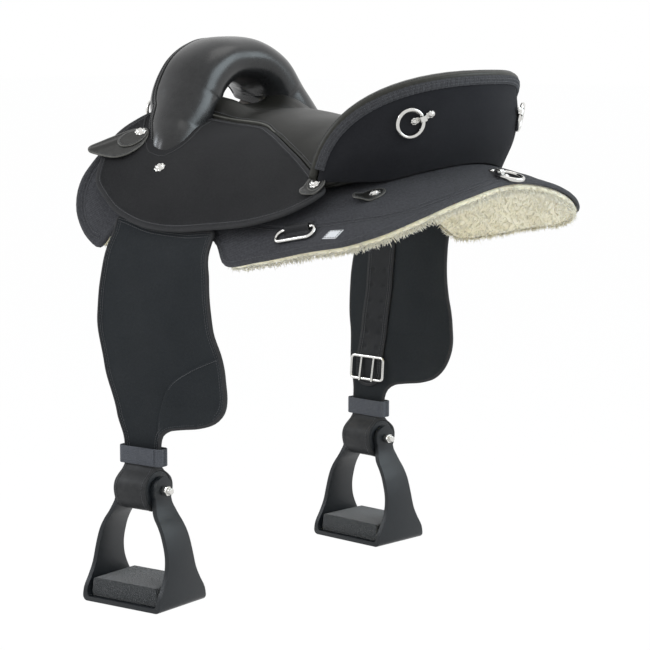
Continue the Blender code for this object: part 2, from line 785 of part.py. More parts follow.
JOCKEY_LOW = DECK - 0.0006
JOCKEY_HIGH = DECK + JOCKEY_THICK
jockey_clear = {}
for side in (RIGHT, LEFT):
    jockey = drape_sheet("jockey_" + SIDE_NAMES[side], mirrored(jockey_outline(), side),
                         JOCKEY_LOW, JOCKEY_HIGH, "cordura", grid=0.036, spacing=0.026)
    boolean(jockey, pommel_clear)
    boolean(jockey, bar_clear[side])
    jockey_clear[side] = cutter_look(drape_sheet(
        "jockey_clear_" + SIDE_NAMES[side], mirrored(jockey_outline(), side), JOCKEY_LOW,
        JOCKEY_HIGH + GAP, "cordura", grid=0.036, spacing=0.026, collection=cutters))

# Fenders and stirrup leathers.
# Outer face of the hanging fender: height, then distance from the middle plane.
HANG = ((-0.120, 0.284), (-0.200, 0.281), (-0.270, 0.274), (-0.340, 0.263), (-0.390, 0.2575),
        (-0.470, 0.2560))
TOE = 0.075
HANG_MIDDLE = -0.090
STRAP_OFF = 0.0040
STRAP_SPARE = 0.0013
FENDER_OFF = STRAP_OFF + STRAP_THICK + GAP
HANG_FROM, HANG_OVER = -0.075, 0.060
HANG_GRID = 0.028


def drape_y_at(x, z, off):
    low, high = 0.08, 0.42
    for _ in range(22):
        mid = (low + high) / 2
        if drape(x, mid, off).z > z:
            low = mid
        else:
            high = mid
    return drape(x, low, off).y


def hang_plane(x, z):
    rows = [(-h, d) for h, d in HANG]
    return along_rows(-z, rows) - TOE * (x - HANG_MIDDLE)


def hang_point(side, x, z, off, depth):
    """Point of a layer that lies off the drape above and depth inside the fender's face below."""
    share = smooth((HANG_FROM - z) / HANG_OVER)
    y = 0.0
    if share < 1.0:
        y += (1 - share) * drape_y_at(x, z, off)
    if share > 0.0:
        y += share * (hang_plane(x, z) - depth)
    return Vector((x, side * y, z))


FENDER_OUTLINE = (
    (-0.172, -0.056), (-0.111, -0.068), (-0.040, -0.071), (0.003, -0.068), (0.008, -0.084),
    (0.007, -0.117), (0.006, -0.165), (0.011, -0.208), (0.021, -0.240), (0.026, -0.274),
    (0.025, -0.300), (0.016, -0.323), (-0.002, -0.3395), (-0.029, -0.349), (-0.060, -0.354),
    (-0.084, -0.359), (-0.098, -0.368), (-0.1035, -0.381), (-0.104, -0.3985, "c"),
    (-0.170, -0.3985, "c"), (-0.171, -0.372), (-0.178, -0.345), (-0.184, -0.312),
    (-0.194, -0.250), (-0.197, -0.208), (-0.192, -0.164), (-0.182, -0.122), (-0.175, -0.080),
)
STRAP_WIDE = 0.055
STRAP_MIDDLE = ((0.050, -0.1315), (-0.060, -0.1250), (-0.137, -0.1260), (-0.227, -0.133),
                (-0.322, -0.138), (-0.400, -0.139))
STRAP_FOOT = -0.366
HANGER_AT = -0.1315
HANGER_OUT = 0.0064
STRAP_TO_BAR = 0.0020
BAR_TO_EYE = 0.0020
EYE_START = BAR_OUTER + BAR_TO_EYE
EYE_WIDE = 0.0090


def strap_middle(z):
    rows = [(-h, d) for h, d in STRAP_MIDDLE]
    return along_rows(-z, rows)


def strap_outline():
    heights = (-0.010, -0.050, -0.085, -0.120, -0.180, -0.240, -0.300, -0.345)
    half = STRAP_WIDE / 2
    front = [(strap_middle(z) - half, z) for z in heights]
    rear = [(strap_middle(z) + half, z) for z in heights]
    foot = strap_middle(STRAP_FOOT)
    head = [(HANGER_AT + dx, strap_top_height(HANGER_AT + dx) - drop)
            for dx, drop in ((half, 0.006), (half * 0.6, 0.0), (-half * 0.6, 0.0), (-half, 0.006))]
    return (front + [(foot - half * 0.7, STRAP_FOOT + 0.006), (foot, STRAP_FOOT),
                     (foot + half * 0.7, STRAP_FOOT + 0.006)] + rear[::-1] + head)


def strap_top_height(x):
    low, high = 0.08, 0.2
    for _ in range(22):
        mid = (low + high) / 2
        if drape(x, mid, STRAP_OFF).y < EYE_START + STRAP_TO_BAR:
            low = mid
        else:
            high = mid
    return drape(x, low, STRAP_OFF).z


HANGER_SHAFT = 0.0025
HANGER_CLEAR = 0.0003
EYE_RADIUS = 0.0048
hanger_centre = drape_at_y(HANGER_AT, EYE_START, HANGER_OUT)


def along_y(side, x, y, z):
    """Matrix whose local Z runs out along Y."""
    turn = Matrix.Rotation(math.radians(-90 * side), 4, "X")
    return Matrix.Translation((x, side * y, z)) @ turn


for side in (RIGHT, LEFT):
    def fender_place(u, v, t, side=side):
        return hang_point(side, u, v, FENDER_OFF + FENDER_THICK * t, FENDER_THICK * (1 - t))
    outline = loop_through(FENDER_OUTLINE, 0.026)
    sheet("fender_" + SIDE_NAMES[side], outline, fender_place, "cordura_fender", HANG_GRID, 0.0012)

    def fender_clear_place(u, v, t, side=side):
        grow = GAP * (1 - t)
        return hang_point(side, u, v, FENDER_OFF - grow + FENDER_THICK * t,
                          FENDER_THICK * (1 - t) + grow)
    fender_clear = cutter_look(sheet("fender_clear_" + SIDE_NAMES[side], outline, fender_clear_place,
                                     "cordura_fender", HANG_GRID, 0.0012, cutters))

    def strap_place(u, v, t, side=side):
        return hang_point(side, u, v, STRAP_OFF + (STRAP_THICK + STRAP_SPARE) * t,
                          FENDER_THICK + GAP + STRAP_THICK * (1 - t) - STRAP_SPARE * t)
    strap = sheet("stirrup_leather_" + SIDE_NAMES[side], loop_through(strap_outline(), 0.030),
                  strap_place, "leather_trim", 0.040, 0.0006)
    boolean(strap, fender_clear)
    boolean(strap, bar_clear[side])
    eye = lathe("leather_eye_" + SIDE_NAMES[side],
                [(0.0, 0.0), (EYE_RADIUS, 0.0), (EYE_RADIUS, EYE_WIDE), (0.0, EYE_WIDE)],
                along_y(side, HANGER_AT, EYE_START, hanger_centre.z), "nickel", 16, cutters)
    cutter_look(eye)
    boolean(strap, eye, "UNION")
    shaft_bore = lathe("leather_bore_" + SIDE_NAMES[side],
                       [(0.0, -0.01), (HANGER_SHAFT + HANGER_CLEAR, -0.01),
                        (HANGER_SHAFT + HANGER_CLEAR, 0.03), (0.0, 0.03)],
                       along_y(side, HANGER_AT, EYE_START, hanger_centre.z), "nickel", 16, cutters)
    cutter_look(shaft_bore)
    boolean(strap, shaft_bore)
    shaft = lathe("leather_hanger_" + SIDE_NAMES[side],
                  [(0.0, -0.0090), (EYE_RADIUS, -0.0090), (EYE_RADIUS, -GAP),
                   (HANGER_SHAFT, -GAP), (HANGER_SHAFT, EYE_WIDE + 0.002), (0.0, EYE_WIDE + 0.002)],
                  along_y(side, HANGER_AT, EYE_START, hanger_centre.z), "nickel", 16, cutters)
    boolean(tree_bars[side], cutter_look(shaft), "UNION")
    boolean(tree_bars[side], skirt_clear)

# Stirrups: tapered frame, foam tread, pivot bolt, leather loop and hobble strap.
BOLT_AT = (-0.1375, 0.2595, -0.446)
BOLT_RADIUS = 0.0045
BOLT_CLEAR = 0.0003
# Half outlines of the frame seen from the side: height under the bolt, half width, plastic thickness.
FRAME_WIDTH = (
    (0.020, 0.0375, 0.0080), (-0.012, 0.0375, 0.0080), (-0.033, 0.0440, 0.0080),
    (-0.048, 0.0535, 0.0075), (-0.064, 0.0612, 0.0072), (-0.090, 0.0680, 0.0070),
    (-0.120, 0.0705, 0.0070), (-0.150, 0.0715, 0.0070),
)
FRAME_FOOT = -0.165
FOOT_PLATE = 0.0065
FRAME_CORNER = 0.008
FRAME_DEPTH = (
    (-0.020, 0.0180), (-0.036, 0.0228), (-0.062, 0.0258), (-0.090, 0.0275), (-0.112, 0.0318),
    (-0.130, 0.0405), (-0.146, 0.0500), (-0.165, 0.0525),
)
BOSS_RADIUS = 0.0195
FRAME_HALF_DEEP = FRAME_DEPTH[-1][1] + 0.0005
FOOT_HALF = FRAME_WIDTH[-1][1]
FOOT_INNER = FOOT_HALF - FRAME_WIDTH[-1][2]
PAD_THICK = 0.027
PAD_HALF_DEEP = 0.0440
PAD_HALF = FOOT_INNER - 0.0055
PAD_SWELL = 0.0020
ROLLER_RADIUS = 0.027
ROLLER_HALF_WIDE = 0.0280
ROLLER_CHAMFER = 0.0010
BOLT_HEAD_END, BOLT_TIP = -0.0420, 0.0530
HEX_ACROSS = 0.0130
HEAD_SPAN, NUT_SPAN = (-0.0440, -0.0378), (0.0378, 0.0470)
CUT_REACH = 0.090
TOE_ANGLE = math.atan(TOE)


def stirrup_matrix(side):
    return Matrix.Translation((BOLT_AT[0], side * BOLT_AT[1], BOLT_AT[2])) @ Matrix.Rotation(
        -side * TOE_ANGLE, 4, "Z")


UPRIGHT = Matrix.Rotation(math.radians(90), 4, "X")
SIDEWAYS = Matrix(((0, 0, 1, 0), (1, 0, 0, 0), (0, 1, 0, 0), (0, 0, 0, 1)))


def frame_outline():
    """Side walls and foot plate of the frame, with rounded corners at the foot."""
    outer = [(w, z) for z, w, _ in FRAME_WIDTH]
    outer += [(FOOT_HALF + 0.0003, FRAME_FOOT + FRAME_CORNER), (FOOT_HALF - 0.0020, FRAME_FOOT + 0.0024),
              (FOOT_HALF - 0.0075, FRAME_FOOT)]
    inner = [(w - t, z) for z, w, t in FRAME_WIDTH]
    plate = FRAME_FOOT + FOOT_PLATE
    inner += [(FOOT_INNER - 0.0015, plate + 0.0030), (FOOT_INNER - 0.0045, plate)]
    return outer + mirrored_x(outer[::-1]) + mirrored_x(inner) + inner[::-1]


def mirrored_x(points):
    return [(-x, z) for x, z in points]


def depth_outline():
    boss = []
    for k in range(9):
        angle = math.radians(-30 + 240 * k / 8)
        boss.append((BOSS_RADIUS * math.cos(angle), BOSS_RADIUS * math.sin(angle)))
    flank = [(d, z) for z, d in FRAME_DEPTH]
    return flank[::-1] + boss + mirrored_x(flank)


LOOP_HALF = ((0.0, -0.0325), (0.0163, -0.0281), (0.0281, -0.0163), (0.0325, 0.0), (0.0300, 0.0120),
             (0.0225, 0.0200), (0.0130, 0.0270), (0.0080, 0.0330), (0.0080, 0.0472))
LOOP_WIDE = 0.0565
HOBBLE_LOW, HOBBLE_HIGH = 0.0345, 0.0600
HOBBLE_THICK = 0.0022
HOBBLE_SHIFT = 0.0008
HOBBLE_HALF_LONG = 0.0392
HOBBLE_HALF_DEEP = 0.0112


def rounded_box(half_x, half_y, corner, steps=3):
    out = []
    for cx, cy, start in ((1, 1, 0), (-1, 1, 90), (-1, -1, 180), (1, -1, 270)):
        for k in range(steps + 1):
            angle = math.radians(start + 90 * k / steps)
            out.append((cx * (half_x - corner) + corner * math.cos(angle),
                        cy * (half_y - corner) + corner * math.sin(angle)))
    return out


def disc(radius, sides):
    return [(p.x, p.y) for p in ellipse(Vector((1, 0)), Vector((0, 1)), radius, radius, sides)]


def pad_outline():
    low = FRAME_FOOT + FOOT_PLATE + GAP
    high = low + PAD_THICK
    half = [(PAD_HALF, low), (PAD_HALF + PAD_SWELL, low + 0.0050), (PAD_HALF - 0.0003, high - 0.0040),
            (PAD_HALF - 0.0043, high)]
    return half + mirrored_x(half[::-1])


def hexagon(across_flats):
    radius = across_flats / math.sqrt(3)
    return [(radius * math.cos(math.radians(60 * k)), radius * math.sin(math.radians(60 * k)))
            for k in range(6)]


for side in (RIGHT, LEFT):
    end = SIDE_NAMES[side]
    seat_at = stirrup_matrix(side)
    frame = prism("stirrup_frame_" + end, frame_outline(), -FRAME_HALF_DEEP, FRAME_HALF_DEEP,
                  seat_at @ UPRIGHT, "stirrup_plastic")
    taper = cutter_look(prism("stirrup_taper_" + end, depth_outline(), -CUT_REACH, CUT_REACH,
                              seat_at @ SIDEWAYS, "stirrup_plastic", cutters))
    boolean(frame, taper, "INTERSECT")
    bore = cutter_look(prism("stirrup_bore_" + end, disc(BOLT_RADIUS + BOLT_CLEAR, 20), -CUT_REACH,
                             CUT_REACH, seat_at @ SIDEWAYS, "stirrup_plastic", cutters))
    boolean(frame, bore)

    prism("tread_pad_" + end, pad_outline(), -PAD_HALF_DEEP, PAD_HALF_DEEP, seat_at @ UPRIGHT, "foam",
          bevel=0.0015)

    loop = prism("leather_loop_" + end, list(LOOP_HALF) + mirrored_x(LOOP_HALF[:0:-1]), -LOOP_WIDE / 2,
                 LOOP_WIDE / 2, seat_at @ SIDEWAYS, "leather_trim")
    loop_bore = cutter_look(prism("loop_bore_" + end, disc(ROLLER_RADIUS + GAP, 22), -CUT_REACH,
                                  CUT_REACH, seat_at @ SIDEWAYS, "leather_trim", cutters))
    boolean(loop, loop_bore)
    lathe("stirrup_roller_" + end,
          [(BOLT_RADIUS + BOLT_CLEAR, -ROLLER_HALF_WIDE),
           (ROLLER_RADIUS - ROLLER_CHAMFER, -ROLLER_HALF_WIDE),
           (ROLLER_RADIUS, ROLLER_CHAMFER - ROLLER_HALF_WIDE),
           (ROLLER_RADIUS, ROLLER_HALF_WIDE - ROLLER_CHAMFER),
           (ROLLER_RADIUS - ROLLER_CHAMFER, ROLLER_HALF_WIDE),
           (BOLT_RADIUS + BOLT_CLEAR, ROLLER_HALF_WIDE)],
          seat_at @ SIDEWAYS, "stirrup_plastic", 22)

    bolt = prism("stirrup_bolt_" + end, disc(BOLT_RADIUS, 16), BOLT_HEAD_END, BOLT_TIP,
                 seat_at @ SIDEWAYS, "nickel", bevel=0.0008)
    for part_name, span in (("bolt_head_", HEAD_SPAN), ("bolt_nut_", NUT_SPAN)):
        hexed = prism(part_name + end, hexagon(HEX_ACROSS), *span, seat_at @ SIDEWAYS, "nickel", cutters)
        boolean(bolt, cutter_look(hexed), "UNION")

    band = Matrix.Translation((HOBBLE_SHIFT, -0.0006 * side, 0.0))
    hobble = prism("hobble_strap_" + end, rounded_box(HOBBLE_HALF_LONG, HOBBLE_HALF_DEEP, 0.0085),
                   HOBBLE_LOW, HOBBLE_HIGH, seat_at @ band, "webbing")
    hobble_hollow = cutter_look(prism("hobble_hollow_" + end,
                                      rounded_box(HOBBLE_HALF_LONG - HOBBLE_THICK,
                                                  HOBBLE_HALF_DEEP - HOBBLE_THICK, 0.0063),
                                      HOBBLE_LOW - 0.01, HOBBLE_HIGH + 0.01, seat_at @ band,
                                      "webbing", cutters))
    boolean(hobble, hobble_hollow)

# Buckles on the inner face of the stirrup leathers.
BUCKLE_HALF_LONG, BUCKLE_HALF_HIGH = 0.0340, 0.0180
BUCKLE_WIRE = 0.0024
BUCKLE_AT = -0.336
TONGUE_WIRE = 0.0018
TONGUE_APART = 0.026


def strap_inside(side, x, z, out):
    here = hang_point(side, x, z, STRAP_OFF, FENDER_THICK + GAP + STRAP_THICK)
    return here - Vector((TOE * side, side, 0)).normalized() * out


def buckle_point(side, dx, dz, out):
    x = strap_middle(BUCKLE_AT) + dx
    return strap_inside(side, x, BUCKLE_AT + dz, out)


for side in (RIGHT, LEFT):
    end = SIDE_NAMES[side]
    out = BUCKLE_WIRE + 2 * GAP
    loop_points = [buckle_point(side, p[0], p[1], out)
                   for p in rounded_box(BUCKLE_HALF_LONG, BUCKLE_HALF_HIGH, 0.006, 3)]
    buckle = bent_wire("buckle_" + end, loop_points, BUCKLE_WIRE, "nickel", closed=True)
    for k, dx in enumerate((-TONGUE_APART / 2, TONGUE_APART / 2)):
        tongue_points = [buckle_point(side, dx, BUCKLE_HALF_HIGH, out),
                         buckle_point(side, dx, 0.0, out + 0.0010),
                         buckle_point(side, dx, -BUCKLE_HALF_HIGH - 0.003, out + 0.0030)]
        tongue = bent_wire("tongue_%s_%d" % (end, k), tongue_points, TONGUE_WIRE, "nickel")
        part.objects.unlink(tongue)
        cutters.objects.link(tongue)
        cutter_look(tongue)
        boolean(buckle, tongue, "UNION")

# Screws, leather tabs and rings.
SCREW_RADIUS = 0.0065
SCREW_SIDES = 10


def screw_profile(radius, sink):
    return [(0.0, -sink), (radius * 0.9, -sink), (radius, 0.0006), (radius * 0.86, 0.0026),
            (radius * 0.5, 0.0040), (0.0, 0.0045)]


def screw(name, frame, radius=SCREW_RADIUS, sink=0.0, collection=None, sides=SCREW_SIDES):
    return lathe(name, screw_profile(radius, sink), frame, "nickel", sides, collection)


def turned(frame, dx, dy):
    return frame @ Matrix.Rotation(math.atan2(dy, dx), 4, "Z")


def oval(low_u, high_u, half_v, count=14):
    middle, half_u = (low_u + high_u) / 2, (high_u - low_u) / 2
    return [Vector((middle + half_u * math.cos(2 * math.pi * k / count),
                    half_v * math.sin(2 * math.pi * k / count))) for k in range(count)]


def leather_tab(name, frame, outline, toward, thick, curl_from, curl_over, curl_rise, clear):
    """Flat leather tab whose end curls up off its carrier, in the direction toward."""
    reach = Vector(toward).normalized()

    def place(u, v, t):
        curl = smooth((u * reach.x + v * reach.y - curl_from) / curl_over)
        low = curl_rise * curl - SINK * (1 - curl)
        return frame @ Vector((u, v, low + (curl_rise * curl + thick - low) * t))
    tab = sheet(name, outline, place, "leather_trim", 0.010, 0.0006)
    boolean(tab, clear)
    return tab


TAB_THICK = 0.0024
JOCKEY_SCREW_AT = (-0.138, 0.222)
LEAF_AT, LEAF_TOWARD = (-0.204, 0.184), (-0.035, 0.060)
LEAF_OUTLINE = (
    (-0.204, 0.171), (-0.219, 0.182), (-0.231, 0.203), (-0.243, 0.226), (-0.250, 0.245),
    (-0.242, 0.254), (-0.221, 0.250), (-0.200, 0.243), (-0.187, 0.228), (-0.183, 0.206),
    (-0.190, 0.183),
)
ROSETTE_AT, ROSETTE_TOWARD = (0.129, 0.2005), (-0.45, 1.0)
SKIRT_TAB_AT, SKIRT_TAB_TOWARD = (0.207, 0.168), (-0.6, 1.0)
for side in (RIGHT, LEFT):
    end = SIDE_NAMES[side]
    frame = drape_frame(JOCKEY_SCREW_AT[0], side * JOCKEY_SCREW_AT[1], JOCKEY_HIGH)
    jockey_screw = screw("jockey_screw_" + end, frame, sink=SINK)
    boolean(jockey_screw, jockey_clear[side])

    frame = drape_frame(LEAF_AT[0], side * LEAF_AT[1], JOCKEY_HIGH)
    leaf = loop_through([(p[0] - LEAF_AT[0], side * (p[1] - LEAF_AT[1])) for p in LEAF_OUTLINE],
                        0.014)
    leather_tab("leaf_keeper_" + end, frame, leaf, (LEAF_TOWARD[0], side * LEAF_TOWARD[1]),
                TAB_THICK, 0.010, 0.060, 0.016, jockey_clear[side])
    screw("leaf_screw_" + end, frame @ Matrix.Translation((0, 0, TAB_THICK + GAP)))

    frame = turned(drape_frame(ROSETTE_AT[0], side * ROSETTE_AT[1], JOCKEY_HIGH),
                   ROSETTE_TOWARD[0], side * ROSETTE_TOWARD[1])
    leather_tab("rosette_" + end, frame, oval(-0.0110, 0.0250, 0.0125), (1, 0), TAB_THICK, 0.012, 0.014,
                0.006, jockey_clear[side])
    screw("rosette_screw_" + end, frame @ Matrix.Translation((0, 0, TAB_THICK + GAP)))

    frame = turned(drape_frame(SKIRT_TAB_AT[0], side * SKIRT_TAB_AT[1]), SKIRT_TAB_TOWARD[0],
                   side * SKIRT_TAB_TOWARD[1])
    leather_tab("skirt_tab_" + end, frame, oval(-0.0140, 0.0290, 0.0150), (1, 0), TAB_THICK, 0.012, 0.016,
                0.006, skirt_clear)
    screw("skirt_screw_" + end, frame @ Matrix.Translation((0, 0, TAB_THICK + GAP)))

# Rings under clips. A clip's frame has Z out of its carrier and X from the ring's middle
# to the clip; the ring turns about its own wire under the clip's hump.
CLIP_THICK = 0.0014
CLIP_CLEAR = 0.0006


def hump_outline(reach_in, reach_out, middle, wire, base, lift=GAP):
    """Section of a strap over a wire: flat feet and a hump between them."""
    half = wire + CLIP_CLEAR
    top = lift + 2 * wire + CLIP_CLEAR
    t = CLIP_THICK
    outer = [(reach_in, t), (middle - half - t, t), (middle - half - t, top - half * 0.5),
             (middle - half * 0.5 - t * 0.4, top + t), (middle + half * 0.5 + t * 0.4, top + t),
             (middle + half + t, top - half * 0.5), (middle + half + t, t), (reach_out, t)]
    inner = [(reach_out, base), (middle + half, base), (middle + half, top - half * 0.6),
             (middle + half * 0.5, top), (middle - half * 0.5, top),
             (middle - half, top - half * 0.6), (middle - half, base), (reach_in, base)]
    return outer + inner


def clip(name, frame, outline, width, look, clear):
    piece = prism(name, outline, -width / 2, width / 2, frame @ UPRIGHT, look)
    boolean(piece, clear)
    return piece


def ring(name, frame, radius, wire, lift, sides=20):
    profile = [(radius + p.x, lift + wire + p.y)
               for p in ellipse(Vector((1, 0)), Vector((0, 1)), wire, wire, 6)]
    return lathe(name, profile, frame, "nickel", sides)


def ring_set(name, frame, radius, wire, clear, foot=0.016, drop=0.006, lift=GAP):
    wire_ring = ring(name + "_ring", frame, radius, wire, lift)
    set_origin(wire_ring, frame @ Vector((radius, 0, lift + wire)))
    raised = frame @ Matrix.Translation((0, 0, lift - GAP))
    strap_clip = clip(name + "_clip", raised,
                      hump_outline(radius * 0.15, radius + wire + foot, radius, wire, -drop),
                      0.0075, "nickel", clear)
    for k, at in enumerate((radius * 0.35, radius + wire + foot * 0.62)):
        head = screw("%s_head_%d" % (name, k), raised @ Matrix.Translation((at, 0, CLIP_THICK - 0.0004)),
                     0.0050, 0.0, cutters, 8)
        boolean(strap_clip, cutter_look(head), "UNION")


CANTLE_RING_ARC, CANTLE_RING_HIGH = 0.1290, 0.080
CANTLE_RING_RADIUS, RING_WIRE = 0.0188, 0.0028
CLIP_TILT = math.radians(23)
for side in (RIGHT, LEFT):
    arc = side * CANTLE_RING_ARC
    face = PANEL_OUTER + PANEL_CROWN
    here = cantle_point(arc, CANTLE_RING_HIGH, face)
    outward = (cantle_point(arc, CANTLE_RING_HIGH, face + 0.01) - here).normalized()
    inward = (cantle_point(arc - side * 0.01, CANTLE_RING_HIGH, face) - here).normalized()
    rise = (cantle_point(arc, CANTLE_RING_HIGH + 0.01, face) - here).normalized()
    outward = (inward.cross(rise) * (1 if inward.cross(rise).dot(outward) > 0 else -1)).normalized()
    along = (inward * math.cos(CLIP_TILT) + rise * math.sin(CLIP_TILT)).normalized()
    across = outward.cross(along).normalized()
    frame = Matrix.Translation(here) @ Matrix((along, across, outward)).transposed().to_4x4()
    ring_set("cantle_" + SIDE_NAMES[side], frame, CANTLE_RING_RADIUS, RING_WIRE, panel_clear)

CRUPPER_AT, CRUPPER_RADIUS = 0.312, 0.0185
frame = turned(drape_frame(CRUPPER_AT, 0.0), -1.0, 0.0)
ring_set("crupper", frame, CRUPPER_RADIUS, RING_WIRE, skirt_clear, foot=0.014)

FRONT_RING_RADIUS, FRONT_WIRE = 0.0150, 0.0024
FRONT_RING_Y, FRONT_RING_Z = 0.104, 0.084
FRONT_FACE = 0.2535
pommel_face = cutter_look(arch_tube("pommel_face", POMMEL_HALF, GAP, "leather_pommel", cutters))
for side in (RIGHT, LEFT):
    here = Vector((-FRONT_FACE, side * FRONT_RING_Y, FRONT_RING_Z))
    frame = Matrix.Translation(here) @ Matrix(((0, 0, 1), (0, 1, 0), (-1, 0, 0))).transposed().to_4x4()
    ring_set("front_" + SIDE_NAMES[side], frame, FRONT_RING_RADIUS, FRONT_WIRE, pommel_face,
             foot=0.012, drop=0.012, lift=GAP + 0.001)

# Rigging dees, each under a sewn keeper near the skirt's lower edge, and a blank sewn tag.
DEE_AT, DEE_ALONG = (0.138, 0.2690), (0.058, -0.016)
DEE_HALF_LONG, DEE_HALF_DEEP, DEE_WIRE = 0.0300, 0.0105, 0.0025
KEEPER_WIDE = 0.040
DEE_CLEAR = 0.0014
for side in (RIGHT, LEFT):
    end = SIDE_NAMES[side]
    frame = turned(drape_frame(DEE_AT[0], side * DEE_AT[1]), DEE_ALONG[1], side * -DEE_ALONG[0])
    lift = DEE_WIRE + DEE_CLEAR
    dee_points = [frame @ Vector((p[1], p[0], lift))
                  for p in rounded_box(DEE_HALF_LONG, DEE_HALF_DEEP, 0.009, 3)]
    dee = bent_wire("rigging_dee_" + end, dee_points, DEE_WIRE, "nickel", closed=True)
    set_origin(dee, frame @ Vector((DEE_HALF_DEEP, 0, lift)))
    clip("dee_keeper_" + end, frame,
         hump_outline(DEE_HALF_DEEP - 0.010, DEE_HALF_DEEP + 0.014, DEE_HALF_DEEP, DEE_WIRE, -0.004,
                      DEE_CLEAR), KEEPER_WIDE, "cordura", skirt_clear)

TAG_OUTLINE = ((0.189, 0.274), (0.192, 0.257), (0.214, 0.254), (0.212, 0.272))
TAG_SINK, TAG_HIGH = 0.0010, 0.0012


def tag_place(u, v, t):
    return drape(u, v, (TAG_SINK + TAG_HIGH) * t - TAG_SINK)


tag = sheet("side_tag", [Vector(p) for p in mirrored(TAG_OUTLINE, LEFT)], tag_place, "tag", 0.02, 0.0003)
boolean(tag, skirt_clear)

# A fender and all that hangs with it swings at its hanger, a stirrup at its bolt.
FENDER_PIECES = ("fender_", "stirrup_leather_", "buckle_", "hobble_strap_", "leather_loop_",
                 "stirrup_roller_")
STIRRUP_PIECES = ("stirrup_frame_", "tread_pad_", "stirrup_bolt_")
for side in (RIGHT, LEFT):
    end = SIDE_NAMES[side]
    hanger = Vector((HANGER_AT, side * (EYE_START + EYE_WIDE / 2), hanger_centre.z))
    for piece in FENDER_PIECES:
        set_origin(part.objects[piece + end], hanger)
    for piece in STIRRUP_PIECES:
        set_origin(part.objects[piece + end], Vector((BOLT_AT[0], side * BOLT_AT[1], BOLT_AT[2])))
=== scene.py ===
import math
import bmesh
import bpy
import numpy as np
from mathutils import Matrix, Vector, kdtree
from mathutils.geometry import delaunay_2d_cdt


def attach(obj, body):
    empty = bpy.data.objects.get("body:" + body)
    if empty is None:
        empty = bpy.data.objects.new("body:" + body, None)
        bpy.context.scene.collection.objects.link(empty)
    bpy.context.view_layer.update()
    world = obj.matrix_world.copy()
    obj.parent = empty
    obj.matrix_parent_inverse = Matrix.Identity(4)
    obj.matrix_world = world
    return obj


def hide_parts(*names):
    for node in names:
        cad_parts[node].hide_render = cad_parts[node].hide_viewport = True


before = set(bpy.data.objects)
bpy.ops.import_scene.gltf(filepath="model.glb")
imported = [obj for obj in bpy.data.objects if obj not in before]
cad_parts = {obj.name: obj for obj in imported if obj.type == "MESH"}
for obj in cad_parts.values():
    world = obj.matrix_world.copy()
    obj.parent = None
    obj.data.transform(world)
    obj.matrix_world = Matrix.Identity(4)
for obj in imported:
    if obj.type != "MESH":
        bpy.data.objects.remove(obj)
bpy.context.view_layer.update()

print("frame loaded")


def linked(obj):
    bpy.context.scene.collection.objects.link(obj)
    return obj


def axesMatrix(along, across, out, place):
    return Matrix.Translation(place) @ Matrix((along, across, out)).transposed().to_4x4()


# Camera and lamps.
cameraLook = {"turn": 39.5, "rise": 7.9, "away": 3.2, "aside": -0.011, "lower": -0.225, "lens": 121.85,
              "sensor": 36.0, "near": 0.05, "far": 60.0}
turn, rise = math.radians(cameraLook["turn"]), math.radians(cameraLook["rise"])
viewRight = Vector((math.cos(turn), math.sin(turn), 0.0))
viewBack = Vector((math.sin(turn) * math.cos(rise), -math.cos(turn) * math.cos(rise), math.sin(rise)))
viewUp = viewBack.cross(viewRight)
cameraAt = viewRight * cameraLook["aside"] + viewUp * cameraLook["lower"] + viewBack * cameraLook["away"]
cameraData = bpy.data.cameras.new("saddleCamera")
cameraData.lens, cameraData.sensor_width = cameraLook["lens"], cameraLook["sensor"]
cameraData.clip_start, cameraData.clip_end = cameraLook["near"], cameraLook["far"]
cameraObject = linked(bpy.data.objects.new("saddleCamera", cameraData))
cameraObject.matrix_world = axesMatrix(viewRight, viewUp, viewBack, cameraAt)
bpy.context.scene.camera = cameraObject
bpy.context.scene.view_settings.view_transform = "Standard"

lampRows = {  # place, aim, width, height, power in watts, colour
    "overheadLamp": ((0.3, 0.9, 2.2), (0.0, 0.0, 0.0), 1.2, 1.2, 7.0, (1.0, 0.99, 0.97)),
    "frontLeftLamp": ((-2.15, -1.3, 1.15), (-0.1, 0.0, 0.0), 0.34, 0.70, 13.0, (0.88, 0.94, 1.0)),
    "leftLamp": ((-1.36, -2.0, 1.48), (-0.1, 0.0, 0.0), 0.28, 0.65, 10.0, (0.92, 0.94, 1.0)),
    "rearLamp": ((2.1, 1.45, 1.22), (0.0, 0.0, 0.0), 2.1, 1.3, 38.0, (0.80, 0.93, 1.0)),
}
for lampName, (lampAt, lampAim, lampWide, lampHigh, lampPower, lampColour) in lampRows.items():
    lampData = bpy.data.lights.new(lampName, "AREA")
    lampData.shape = "RECTANGLE"
    lampData.size, lampData.size_y = lampWide, lampHigh
    lampData.energy, lampData.color = lampPower, lampColour
    lamp = linked(bpy.data.objects.new(lampName, lampData))
    lamp.location = lampAt
    lamp.rotation_euler = (Vector(lampAim) - Vector(lampAt)).to_track_quat("-Z", "Y").to_euler()


# Shader nodes: short forms for what the world, floor and materials share.
def feed(tree, socket, value):
    # a link where the value comes from another node, else the socket's own value
    if isinstance(value, bpy.types.NodeSocket):
        tree.links.new(value, socket)
    else:
        socket.default_value = (*value, 1.0) if socket.type == "RGBA" else value


def newNode(tree, kind, **values):
    node = tree.nodes.new("ShaderNode" + kind)
    for key, value in values.items():
        feed(tree, node.inputs[key], value)
    return node


def mathNode(tree, operation, *values):
    node = tree.nodes.new("ShaderNodeMath")
    node.operation = operation
    for socket, value in zip(node.inputs, values):
        feed(tree, socket, value)
    return node.outputs[0]


def noiseNode(tree, vector, scale, detail, roughness):
    return newNode(tree, "TexNoise", Vector=vector, Scale=scale, Detail=detail,
                   Roughness=roughness).outputs["Fac"]


